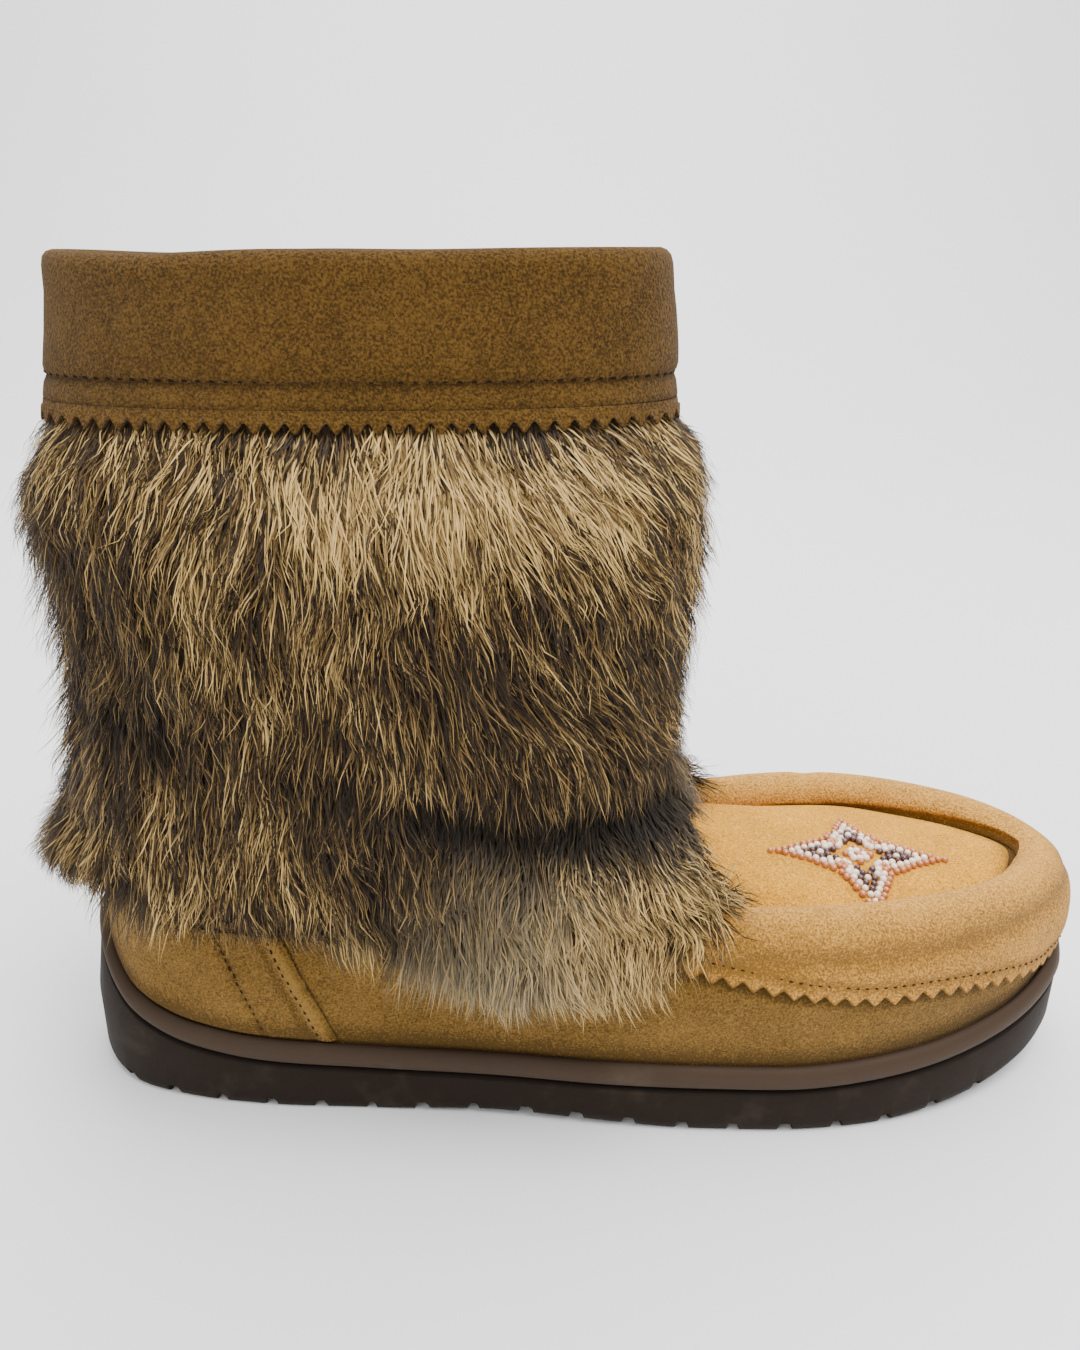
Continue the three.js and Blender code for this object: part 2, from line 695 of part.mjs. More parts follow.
// Thickness of the vamp, padded round its crest and plain at its edge and its seam
function vampThickness({ turn, ring }) {
  const reach = ring < CREST_RING ? ROLL_BELOW : SEAM_RING - CREST_RING;
  const pad = Math.max(0, 1 - ((ring - CREST_RING) / reach) ** 2);
  return SUEDE + ROLL_SWELL * pad * rollShare(turn);
}

// How far the roll has set in at a turn, from 0 at the ends of the vamp to 1
function rollShare(turn) {
  return smooth(Math.min(turn, 1 - turn), VAMP_START, VAMP_START + ROLL_FADE);
}

// Turns from one end of a panel to the other, at the boot's own columns
function turnsFrom(start, end) {
  const margin = 0.2 / COLUMNS;
  const columns = [];
  for (let k = Math.ceil(start * COLUMNS); k <= end * COLUMNS; k += 1) {
    columns.push(k / COLUMNS);
  }
  return [start, ...columns.filter((turn) => turn > start + margin && turn < end - margin), end];
}

// A pinked edge from one turn to another: places that step between tips and notches. ringAt
// gives the ring of the edge, lifted by the depth at a notch.
function pinked(start, end, pitch, depth, ringAt) {
  const steps = 8 * COLUMNS;
  const lengths = [0];
  const turnAt = (k) => mix(start, end, k / steps);
  const edgeAt = (k) => skin.at(turnAt(k), ringAt(turnAt(k), 0));
  for (let k = 1; k <= steps; k += 1) {
    lengths.push(lengths[k - 1] + edgeAt(k - 1).distanceTo(edgeAt(k)));
  }
  const teeth = Math.max(2, Math.round(lengths[steps] / pitch));
  let k = 1;
  return Array.from({ length: 2 * teeth + 1 }, (_, corner) => {
    const length = (lengths[steps] * corner) / (2 * teeth);
    while (k < steps && lengths[k] < length) {
      k += 1;
    }
    const turn = turnAt(k - (lengths[k] - length) / (lengths[k] - lengths[k - 1]));
    return { turn, ring: ringAt(turn, corner % 2 ? 0 : depth) };
  });
}

const vampEdge = (turn, lift) => skin.ringAt(turn, vampEdgeHeight(turn) + lift);

function makeVamp() {
  const lowest = pinked(VAMP_START, 1 - VAMP_START, PINK_PITCH, PINK_DEPTH, vampEdge);
  return geometryOf(sewn(...vampLayout(lowest)));
}

// The vamp above its lowest row, swollen all round where something has to stand clear of it
function vampLayout(lowest, swell = 0) {
  const start = VAMP_START - swell * TURN_PER_MM;
  const above = (turn) => vampEdge(turn, PINK_DEPTH * 1.6);
  const steps = [WALL_RING, SIDE_RING, CREST_RING - 1, CREST_RING - 0.5, CREST_RING,
    CREST_RING + 0.5, SEAM_RING + swell * RINGS_PER_MM];
  const row = (ring, k) => turnsFrom(start, 1 - start).map((turn) => {
    const top = mix(CREST_RING, SEAM_RING, rollShare(turn)) + swell * RINGS_PER_MM;
    return { turn, ring: Math.max(Math.min(ring, top), above(turn) + 0.03 * k) };
  });
  return [[lowest, ...[0, ...steps].map(row)], (at) => vampThickness(at) + swell];
}

const TURN_PER_MM = 0.0016; // about the middle of the boot
const RINGS_PER_MM = 0.22; // across the roll

// The room that a swollen layout takes up, down into the skin
function roomOf([rows, thickness]) {
  return solid(panel(rows, (at) => CLEAR + WALL + thickness(at), () => -WALL));
}

// The room that the vamp takes up, with a gap round it
function vampRoom() {
  const start = VAMP_START - PIECE_GAP * TURN_PER_MM;
  const lowest = turnsFrom(start, 1 - start).map((turn) => ({ turn, ring: vampEdge(turn, -PIECE_GAP) }));
  return roomOf(vampLayout(lowest, PIECE_GAP));
}

// The apron fills the top of the foot inside the roll's seam and runs back under the fur. It
// runs less far back at its two sides.
function apronLayout(swell = 0) {
  const start = APRON_START - swell * TURN_PER_MM;
  const reach = swell * RINGS_PER_MM;
  const steps = [0.35, 1, 2, 3, 4, 4.7];
  const rows = steps.map((step, k) => turnsFrom(start, 1 - start).map((turn) => {
    const side = smooth(Math.min(turn, 1 - turn), start, start + 2 * ROLL_FADE);
    const spread = (k === steps.length - 1) - (k === 0);
    return { turn, ring: SEAM_RING + step * mix(0.45, 1, side) + spread * reach };
  }));
  return [rows, () => SUEDE + swell];
}

const makeApron = () => geometryOf(sewn(...apronLayout()).subtract(vampRoom()));

// The heel counter wraps the back of the quarter, and its front edges slant back as they rise.
function counterEdge(side, ring) {
  let near = 0;
  let far = 0.4;
  while (far - near > 1e-4) {
    const middle = (near + far) / 2;
    const at = skin.at(side * middle, ring);
    const reach = COUNTER_REACH - COUNTER_SLANT * (at.z - RAND_HEIGHT);
    if (at.x + HEEL_CENTRE < reach) {
      near = middle;
    } else {
      far = middle;
    }
  }
  return side * near;
}

function makeCounter() {
  const foot = CUP_RINGS - 1 + CLEAR / BEAD_HEIGHT;
  const top = skin.ringAt(0, COUNTER_HEIGHT);
  const rings = [foot];
  for (let ring = CUP_RINGS; ring < top - 0.1; ring += 1) {
    rings.push(ring);
  }
  return geometryOf(sewn([...rings, top].map((ring) => (
    turnsFrom(counterEdge(-1, ring), counterEdge(1, ring)).map((turn) => ({ turn, ring }))
  )), () => COUNTER_THICKNESS));
}

// The cuff folds over the rim: its outer leg, its top and the leg that turns down inside
function cuffRing(out, height) {
  return turns.map((turn) => {
    const place = skin.at(turn, skin.ringAt(turn, Math.min(height, RIM_HEIGHT), SEAM_RING), out);
    place.z = height;
    return place;
  });
}

function makeCuff() {
  const bandOut = 2 * BAND_CLEAR + BAND_THICKNESS;
  const outside = bandOut + CUFF_THICKNESS;
  const inside = -WALL - CLEAR;
  const under = RIM_HEIGHT + CLEAR;
  return hoop([
    cuffRing(bandOut, CUFF_HEM),
    cuffRing(outside - 0.8, CUFF_HEM),
    cuffRing(outside, mix(CUFF_HEM, CUFF_TOP, 0.8)),
    cuffRing(outside - CUFF_THICKNESS / 2, CUFF_TOP),
    cuffRing(inside + CLEAR, CUFF_TOP),
    cuffRing(inside - CUFF_THICKNESS * 0.7, mix(CUFF_HEM, CUFF_TOP, 0.88)),
    cuffRing(inside - CUFF_THICKNESS * 0.7, CUFF_TOP - CUFF_INSIDE),
    cuffRing(inside, CUFF_TOP - CUFF_INSIDE),
    cuffRing(inside, under),
    cuffRing(bandOut, under),
    cuffRing(bandOut, BAND_TOP),
  ]);
}

// The pinked strip that shows under the cuff
function makeCuffBand() {
  const surface = new Surface();
  const edge = (turn, lift) => skin.ringAt(turn, BAND_HEM + lift, SEAM_RING);
  const straight = (lift) => turns.map((turn) => ({ turn, ring: edge(turn, lift) }));
  const rows = [
    pinked(0, 1, CUFF_PINK_PITCH, CUFF_PINK_DEPTH, edge).slice(0, -1),
    straight(CUFF_PINK_DEPTH * 1.6),
    straight(BAND_TOP - BAND_HEM),
  ];
  const lay = (out) => rows.map((row) => surface.add(
    row.map(({ turn, ring }) => skin.at(turn, ring, out)),
  ));
  const shares = rows.map((row) => [...row.map((place) => place.turn), 1]);
  const under = lay(BAND_CLEAR);
  const over = lay(BAND_CLEAR + BAND_THICKNESS);
  surface.bridge(under[0], over[0], true);
  surface.bridge(over[2], under[2], true);
  for (let k = 1; k < rows.length; k += 1) {
    surface.bridge(over[k - 1], over[k], true, shares[k - 1], shares[k]);
    surface.bridge(under[k], under[k - 1], true, shares[k], shares[k - 1]);
  }
  return surface.geometry();
}

// How far the inside of the fur stands off the skin, over the counter and the cup that it hides
function furGap({ turn, ring }) {
  const heel = 1 - smooth(alongAt(turn), 0, 0.2);
  return FUR_GAP + SUEDE + CUP_STEP * heel * (1 - smooth(ring, CUP_RINGS, CUP_RINGS + 2));
}

// Depth of the fur round the boot and up it, with its clumps
function furDepth(turn, height) {
  const quarter = (4 * turn) % 4;
  const near = SIDES[Math.floor(quarter)];
  const next = SIDES[(Math.floor(quarter) + 1) % SIDES.length];
  const share = between(FUR_DEPTHS, 'height', height / FUR_TOP, (row) => (
    mix(row[near], row[next], smooth(quarter % 1, 0, 1))));
  const column = Math.round(turn * COLUMNS);
  const clump = Math.sin(column * 2.4 + height / 13) + 0.8 * Math.sin(column * 5.1 - height / 9);
  return FUR_DEPTH * (share + CLUMP * clump);
}

// A place in the fur at a share of its depth. Between the foot's crest and the ankle the fur
// spans the top of the foot.
function furPlace(turn, ring, share) {
  const lay = (at) => {
    const depth = furDepth(turn, skin.at(turn, at).z);
    return skin.at(turn, at, furGap({ turn, ring: at }) + share * depth);
  };
  if (ring <= CREST_RING || ring >= ANKLE_RING) {
    return lay(ring);
  }
  const up = (ring - CREST_RING) / (ANKLE_RING - CREST_RING);
  const low = lay(CREST_RING);
  const high = lay(ANKLE_RING);
  const place = high.clone().lerp(low, (1 - up) ** 2);
  place.z = mix(low.z, high.z, up);
  return place;
}

const ANKLE_RING = ringNamed('ankle');
const furTop = (turn) => skin.ringAt(turn, FUR_TOP, SEAM_RING);

// The lowest ring of the fur at a turn
function furHem(turn) {
  const inside = ({ x, z }) => {
    const back = x + HEEL_CENTRE;
    const hem = between(FUR_HEM, 'along', back / SOLE_LENGTH, (row) => row.height * TOE_HEIGHT);
    return z > hem && back < FUR_FRONT;
  };
  let ring = FUR_FOOT;
  while (ring < RIM_RING && !inside(furPlace(turn, ring, 1))) {
    ring += 0.05;
  }
  return ring;
}

// The sleeve of fur is shaped on its outside, cut along its hem, given its locks and hollowed
// by the boot that it is drawn over.
function makeFur() {
  const outside = FUR_OUTSIDE.map((ring, k) => turns.map((turn) => {
    const place = furPlace(turn, Math.min(ring, furTop(turn)), 1);
    place.z -= k ? 0 : FUR_SKIRT;
    return place;
  }));
  let fur = solid(tub(outside)).intersect(solid(furRegion()));
  for (const lock of furLocks()) {
    fur = fur.add(lock);
  }
  const inside = FUR_INSIDE.map((ring) => turns.map((turn) => {
    const place = skin.at(turn, ring, furGap({ turn, ring }));
    place.z += ring === RIM_RING ? CUFF_THICKNESS : 0;
    return place;
  }));
  for (const room of [solid(tub(inside)), vampRoom(), roomOf(apronLayout(PIECE_GAP))]) {
    fur = fur.subtract(room);
  }
  return geometryOf(fur);
}

// What lies above the hem, as seen from the side
function furRegion() {
  const back = FUR_HEM[0].along * SOLE_LENGTH - HEEL_CENTRE;
  const front = FUR_FRONT - HEEL_CENTRE;
  const outline = new THREE.Shape([
    ...FUR_HEM.map((row) => new THREE.Vector2(
      row.along * SOLE_LENGTH - HEEL_CENTRE,
      row.height * TOE_HEIGHT,
    )),
    new THREE.Vector2(front, FUR_HEM[FUR_HEM.length - 1].height * TOE_HEIGHT),
    new THREE.Vector2(front, RIM_HEIGHT),
    new THREE.Vector2(back, RIM_HEIGHT),
  ]);
  const region = new THREE.ExtrudeGeometry(outline, { depth: 2 * BALL_WIDTH, bevelEnabled: false });
  region.rotateX(Math.PI / 2);
  region.translate(0, BALL_WIDTH, 0);
  return region;
}

// Locks of fur: one at each column of the hem, and rows of them further up
function furLocks() {
  const locks = [];
  for (const { up, every, first } of LOCK_ROWS) {
    for (let k = first; k < COLUMNS; k += every) {
      const turn = k / COLUMNS;
      const ring = mix(furHem(turn) + LOCK_SEAT, furTop(turn), up);
      locks.push(furLock({ turn, ring }, 1 + LOCK_VARIES * Math.sin(k * 2.1 + up * 8)));
    }
  }
  return locks;
}

// A lock lies along the fur towards the hem, leans outwards and has its root in the pelt.
function furLock({ turn, ring }, share) {
  const root = furPlace(turn, ring, LOCK_ROOT);
  const way = furPlace(turn, ring - 0.5, LOCK_ROOT).sub(root).normalize();
  const outwards = furPlace(turn, ring, 1).sub(root).normalize();
  way.addScaledVector(outwards, LOCK_LEAN).normalize();
  const cone = new THREE.ConeGeometry(LOCK_WIDTH / 2, LOCK_LENGTH * share, LOCK_SIDES);
  cone.translate(0, (LOCK_LENGTH * share - LOCK_WIDTH) / 2, 0);
  cone.applyQuaternion(new THREE.Quaternion().setFromUnitVectors(new THREE.Vector3(0, 1, 0), way));
  cone.translate(root.x, root.y, root.z);
  return solid(cone);
}

// The star lies on the apron: a thin plate with four points, its outline cut from a layer that
// follows the apron
function makeStar() {
  const columns = turnsFrom(APRON_START + 0.04, 1 - APRON_START - 0.04);
  const layer = solid(panel([0.3, 1, 2, 3, 4].map((step) => (
    columns.map((turn) => ({ turn, ring: SEAM_RING + step }))
  )), () => STAR_HEIGHT, () => SUEDE + 2 * CLEAR));
  const outline = new THREE.Shape(Array.from({ length: 8 }, (_, k) => {
    const reach = (STAR_SPAN / 2) * (k % 2 ? STAR_WAIST : 1);
    const angle = (Math.PI / 4) * k;
    return new THREE.Vector2(
      STAR_CENTRE - HEEL_CENTRE + reach * Math.cos(angle),
      STAR_OFFSET + reach * Math.sin(angle),
    );
  }));
  const prism = new THREE.ExtrudeGeometry(outline, { depth: 2 * TOE_HEIGHT, bevelEnabled: false });
  return geometryOf(layer.intersect(solid(prism)));
}

// Colours and finishes
const finish = (color, roughness) => new THREE.MeshStandardMaterial({ color, roughness, metalness: 0 });
const FINISHES = {
  suede: finish('#a97a3d', 0.95),
  paleSuede: finish('#c79458', 0.95),
  rubber: finish('#463a30', 0.7),
  lining: finish('#b89c74', 1),
  fur: finish('#8a6c40', 1),
  beads: finish('#e2c9b4', 0.3),
};

const boot = new THREE.Group();
boot.name = 'mukluk_boot';

function place(name, geometry, material) {
  const mesh = new THREE.Mesh(geometry, material);
  mesh.name = name;
  boot.add(mesh);
}

place('outsole', makeOutsole(), FINISHES.rubber);
place('insole', makeInsole(), FINISHES.lining);
place('upper', makeUpper(), FINISHES.suede);
place('heel_counter', makeCounter(), FINISHES.suede);
place('vamp', makeVamp(), FINISHES.paleSuede);
place('apron', makeApron(), FINISHES.paleSuede);
place('bead_star', makeStar(), FINISHES.beads);
place('cuff', makeCuff(), FINISHES.suede);
place('cuff_band', makeCuffBand(), FINISHES.suede);
place('fur_shaft', makeFur(), FINISHES.fur);

export default boot;
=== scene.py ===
import math

import bpy
import numpy as np
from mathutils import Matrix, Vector


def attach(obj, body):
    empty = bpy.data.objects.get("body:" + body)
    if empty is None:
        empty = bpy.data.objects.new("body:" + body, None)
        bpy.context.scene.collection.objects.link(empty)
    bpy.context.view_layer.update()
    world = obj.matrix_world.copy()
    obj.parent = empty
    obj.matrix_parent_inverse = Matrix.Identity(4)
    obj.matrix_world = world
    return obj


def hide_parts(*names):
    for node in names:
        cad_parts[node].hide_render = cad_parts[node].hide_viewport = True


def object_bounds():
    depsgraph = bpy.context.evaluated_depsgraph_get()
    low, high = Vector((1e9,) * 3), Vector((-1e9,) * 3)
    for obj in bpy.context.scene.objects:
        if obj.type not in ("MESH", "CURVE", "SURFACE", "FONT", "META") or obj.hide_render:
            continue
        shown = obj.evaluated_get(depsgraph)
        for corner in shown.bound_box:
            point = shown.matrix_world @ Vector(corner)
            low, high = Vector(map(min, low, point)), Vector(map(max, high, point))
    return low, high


bl_info = {
    "name": "Mukluk boot looks",
    "version": (1, 0, 0),
    "blender": (4, 5, 0),
    "location": "3D View > Sidebar > Boot",
    "description": "Suede, rubber, beads and fur over the packed boot",
    "category": "Object",
}

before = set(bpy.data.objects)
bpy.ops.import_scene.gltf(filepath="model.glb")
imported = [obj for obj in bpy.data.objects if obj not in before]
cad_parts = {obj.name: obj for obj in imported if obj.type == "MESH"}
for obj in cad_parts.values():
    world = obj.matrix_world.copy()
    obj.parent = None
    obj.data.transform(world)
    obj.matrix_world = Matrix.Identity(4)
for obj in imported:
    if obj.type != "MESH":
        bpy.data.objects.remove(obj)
CAD_BOX = [list(corner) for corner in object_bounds()]
MM = 0.001
BODY = "root"

# The boot's own form, in millimetres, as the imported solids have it

HEEL_CENTRE = 40.0
CUFF_RISE = 3.0
# The two main sizes come from the frame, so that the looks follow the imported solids
SOLE_LENGTH = round(CAD_BOX[1][0] / MM + HEEL_CENTRE, 1)
RIM_HEIGHT = round(CAD_BOX[1][2] / MM - CUFF_RISE, 1)
BALL_WIDTH = 98.0
HEEL_WIDTH = 70.0
TOE_OFFSET = 8.0
TOE_SPRING = 9.5
HEEL_BEVEL = 3.5
ARCH_RISE = 1.6
RAND_HEIGHT = 20.5
HEEL_CUP_RISE = 29.0
TOE_CUP_RISE = 11.5
SOLE_FLOOR = 8.5
CUP_WALL = 3.4
HEEL_LEAN = 0.17
WALL = 2.4
CLEAR = 0.3
TOE_HEIGHT = 59.5
ROLL_INSET = 15.5
ANKLE_HEIGHT = 98.0
SHAFT_LENGTH = 143.0
SHAFT_BACK = 16.6
RIM_BACK_IN = 6.4
RIM_FRONT_IN = 4.0
RIM_WIDTH = 43.0
ANKLE_WIDTH = 69.0
OVAL_AHEAD = 0.25
INSOLE_THICKNESS = 4.0
BEAD_HEIGHT = 7.0
LUG_PITCH = 14.0
LUG_WIDTH = 2.8
LUG_DEPTH = 2.6
LUG_REACH = 13.0
SUEDE = 1.6
ROLL_SWELL = 3.2
VAMP_START = 0.252
APRON_START = 0.287
FUR_TOP = 186.5
FUR_DEPTH = 11.0
FUR_FRONT = 180.0
STAR_CENTRE = (179.5, -3.0)

# Outline of the sole: along its length, outer half width, inner half width, as shares
OUTLINE = (
    (0.018, 0.215, 0.22), (0.055, 0.355, 0.365), (0.115, 0.44, 0.455), (0.2, 0.49, 0.485),
    (0.3, 0.505, 0.455), (0.41, 0.458, 0.39), (0.52, 0.43, 0.4), (0.62, 0.44, 0.465),
    (0.71, 0.44, 0.515), (0.8, 0.4, 0.51), (0.88, 0.318, 0.44), (0.945, 0.2, 0.335),
    (0.985, 0.065, 0.215),
)
# Top of the rand: along, share of the heel's climb, share of the toe's climb
RAND_LINE = (
    (0, 1, 0), (0.03, 0.72, 0), (0.07, 0.38, 0), (0.12, 0.17, 0), (0.2, 0.05, 0), (0.35, 0, 0),
    (0.68, 0, 0), (0.8, 0, 0.18), (0.9, 0, 0.52), (1, 0, 1),
)
# Underside: along, shares of the bevel, the arch and the toe spring
GROUND_LINE = (
    (0, 1, 0, 0), (0.03, 0.25, 0, 0), (0.06, 0, 0, 0), (0.3, 0, 0, 0), (0.42, 0, 1, 0),
    (0.5, 0, 0.8, 0), (0.6, 0, 0, 0), (0.76, 0, 0, 0), (0.86, 0, 0, 0.22), (0.94, 0, 0, 0.58),
    (1, 0, 0, 1),
)
# Rings of the foot: blend to the shaft's oval, share of its width, insets and rises at the back
# and at the front
FOOT_RINGS = (
    (0, 1, 1.05, 0.2, 0.15, 0.4), (0, 1, 1.15, 0.33, 0.2, 0.7), (0, 1, 1.4, 0.42, 0.4, 0.92),
    (0, 1, 1.8, 0.5, 0.7, 1), (0, 1, 2.2, 0.57, 1, 0.87), (0.1, 0.7, 2.3, 0.63, 1.25, 0.93),
    (0.3, 0.72, 2, 0.69, 1.3, 0.985), (0.55, 0.8, 1.2, 0.76, 1, 1.03),
    (0.78, 0.88, 0.6, 0.84, 0.5, 1.09), (0.93, 0.96, 0, 0.92, 0, 1.36), (1, 1, 0, 1, 0, 1.95),
)
SHAFT_RINGS = ((0.35, 0.78, 0), (0.68, 0.45, 0), (1, 0, 1))
# Depth of the fur by height: back, outer side, front, inner side, as shares
FUR_DEPTHS = (
    (0.22, 0.8, 0.6, 0.6, 0.6), (0.3, 1.1, 0.9, 0.8, 0.85), (0.37, 1.7, 1.1, 0.95, 1),
    (0.45, 1.8, 1, 0.85, 0.95), (0.55, 0.85, 0.9, 0.8, 0.85), (0.7, 0.6, 0.85, 0.9, 0.85),
    (0.9, 1.05, 1, 1.1, 0.95), (0.97, 0.85, 0.8, 0.9, 0.8), (1, 0.35, 0.35, 0.35, 0.35),
)
# Hem of the fur from the side: along the sole, height as a share of the toe's
FUR_HEM = (
    (-0.08, 0.92), (-0.02, 0.96), (0.03, 1.04), (0.085, 1.1), (0.14, 1.13), (0.2, 1.09),
    (0.28, 1.005), (0.32, 0.97), (0.36, 0.87), (0.41, 0.79), (0.465, 0.75), (0.51, 0.8),
    (0.55, 0.97), (0.59, 1.09),
)
# Rings of the form, counted up from the sole's floor
CREST_RING = 5
SEAM_RING = 6
ANKLE_RING = 12
LAST_RING = 15
# Stretches along the sole, as shares: where the heel's width gives way to the ball's, where the
# heel's lean ends, and where the rings' values for the back give way to those for the front
WAIST = (0.28, 0.56)
LEAN_END = 0.1
FRONT = (0.34, 0.6)
FLOOR_FOLLOWS = 0.9  # how far the sole's inner floor follows its underside
OVAL_POWER = 0.86  # below 1 the leg's oval is fuller than an ellipse
# Sags of the rim: place along, reach and depth, and the heights between which they set in
RIM_SAGS = ((4, 22, 1.3), (60, 24, 0.5))
SAG_HEIGHTS = (203, 219)


def smooth(value, low, high):
    share = np.clip((value - low) / (high - low), 0, 1)
    return share * share * (3 - 2 * share)


def mix(a, b, share):
    return a + (b - a) * share


def ridge(value, centre, reach):
    """A soft bump: 1 where a value is at the centre, and near 0 beyond about twice the reach."""
    return np.exp(-(((value - centre) / reach) ** 2))


def eased(xs, ys, at):
    """A value between the rows of a table, eased from row to row and never past them."""
    xs, ys = np.asarray(xs, float), np.asarray(ys, float)
    steps = np.diff(ys) / np.diff(xs)
    slopes = np.zeros(len(xs))
    turns_back = steps[:-1] * steps[1:] <= 0
    both = np.where(turns_back, 1, steps[:-1] + steps[1:])
    slopes[1:-1] = np.where(turns_back, 0, 2 * steps[:-1] * steps[1:] / both)
    at = np.clip(at, xs[0], xs[-1])
    k = np.clip(np.searchsorted(xs, at), 1, len(xs) - 1)
    span = xs[k] - xs[k - 1]
    t = (at - xs[k - 1]) / span
    low, high = slopes[k - 1] * span, slopes[k] * span
    rise = ys[k] - ys[k - 1]
    return ys[k - 1] + t * (low + t * (3 * rise - 2 * low - high + t * (low + high - 2 * rise)))


def table(rows, column, at):
    return eased([row[0] for row in rows], [row[column] for row in rows], at)


def near_width(along):
    return mix(HEEL_WIDTH, BALL_WIDTH, smooth(np.asarray(along, float), *WAIST))


def outline_knots():
    half = lambda side, k: [
        (row[0] * SOLE_LENGTH - HEEL_CENTRE, side * row[k] * near_width(row[0])) for row in OUTLINE
    ]
    return np.array([
        (-HEEL_CENTRE, 0), *half(-1, 1), (SOLE_LENGTH - HEEL_CENTRE, TOE_OFFSET),
        *half(1, 2)[::-1],
    ], float)


KNOTS = outline_knots()


def outline(turn, inset=0.0):
    """A place on the sole's outline, moved inwards. Turn 0 is the heel's back and 0.5 the toe."""
    count = len(KNOTS)
    at = (np.asarray(turn, float) % 1) * count
    k = np.floor(at).astype(int)
    w = (at - k)[..., None]
    p0, p1, p2, p3 = (KNOTS[(k + step) % count] for step in (-1, 0, 1, 2))
    reach = lambda a, b: (((a - b) ** 2).sum(-1) ** 0.25)[..., None]
    d0, d1, d2 = reach(p0, p1), reach(p1, p2), reach(p2, p3)
    m1 = ((p1 - p0) / d0 - (p2 - p0) / (d0 + d1) + (p2 - p1) / d1) * d1
    m2 = ((p2 - p1) / d1 - (p3 - p1) / (d1 + d2) + (p3 - p2) / d2) * d1
    c2 = -3 * p1 + 3 * p2 - 2 * m1 - m2
    c3 = 2 * p1 - 2 * p2 + m1 + m2
    place = p1 + w * (m1 + w * (c2 + w * c3))
    way = m1 + w * (2 * c2 + w * 3 * c3)
    way /= np.linalg.norm(way, axis=-1, keepdims=True)
    inwards = np.stack([-way[..., 1], way[..., 0]], -1)
    return place + inwards * np.asarray(inset, float)[..., None]


def along_at(turn):
    return (outline(turn)[..., 0] + HEEL_CENTRE) / SOLE_LENGTH


def ground_at(along):
    return (table(GROUND_LINE, 1, along) * HEEL_BEVEL + table(GROUND_LINE, 2, along) * ARCH_RISE
            + table(GROUND_LINE, 3, along) * TOE_SPRING)


def rand_top_at(along):
    return (RAND_HEIGHT + table(RAND_LINE, 1, along) * HEEL_CUP_RISE
            + table(RAND_LINE, 2, along) * TOE_CUP_RISE)


def floor_at(along):
    return ground_at(along) * FLOOR_FOLLOWS + SOLE_FLOOR


def lean_at(along, height):
    return HEEL_LEAN * np.maximum(0, height - RAND_HEIGHT) * (1 - smooth(along, 0, LEAN_END))


def place_at(turn, inset, height):
    """A place inside the outline at a height, with the heel's lean."""
    flat = outline(turn, inset + lean_at(along_at(turn), height))
    return np.concatenate([flat, np.broadcast_to(height, turn.shape)[..., None]], -1)


def oval_at(turn, swell, drawn=0.0):
    """A place on the leg's oval, as wide as the rim or swelling to the ankle, and drawn in."""
    half = 1 - np.abs(1 - 2 * turn)
    ahead = OVAL_AHEAD * half * np.sin(np.pi * half)
    angle = np.pi * np.where(turn > 0.5, 2 - half - ahead, half + ahead)
    width = mix(RIM_WIDTH, ANKLE_WIDTH, swell)
    across = np.sign(np.sin(angle)) * np.abs(np.sin(angle)) ** OVAL_POWER
    back = SHAFT_BACK + drawn * RIM_BACK_IN - HEEL_CENTRE
    length = SHAFT_LENGTH - drawn * (RIM_BACK_IN + RIM_FRONT_IN)
    return np.stack([back + length / 2 * (1 - np.cos(angle)), -width / 2 * across], -1)


def foot_ring(turn, row):
    """A ring of the foot, from its row of FOOT_RINGS."""
    blend, wide, back_in, back_up, front_in, front_up = row
    along = along_at(turn)
    front = smooth(along, *FRONT)
    low = rand_top_at(along) + CLEAR
    height = mix(mix(low, ANKLE_HEIGHT, back_up), mix(low, TOE_HEIGHT, front_up), front)
    inset = mix(back_in * CUP_WALL, front_in * ROLL_INSET, front)
    foot = place_at(turn, inset, height)
    oval = oval_at(turn, 1)
    oval[..., 1] *= mix(1, wide, front)
    foot[..., :2] = mix(foot[..., :2], oval, blend)
    return foot


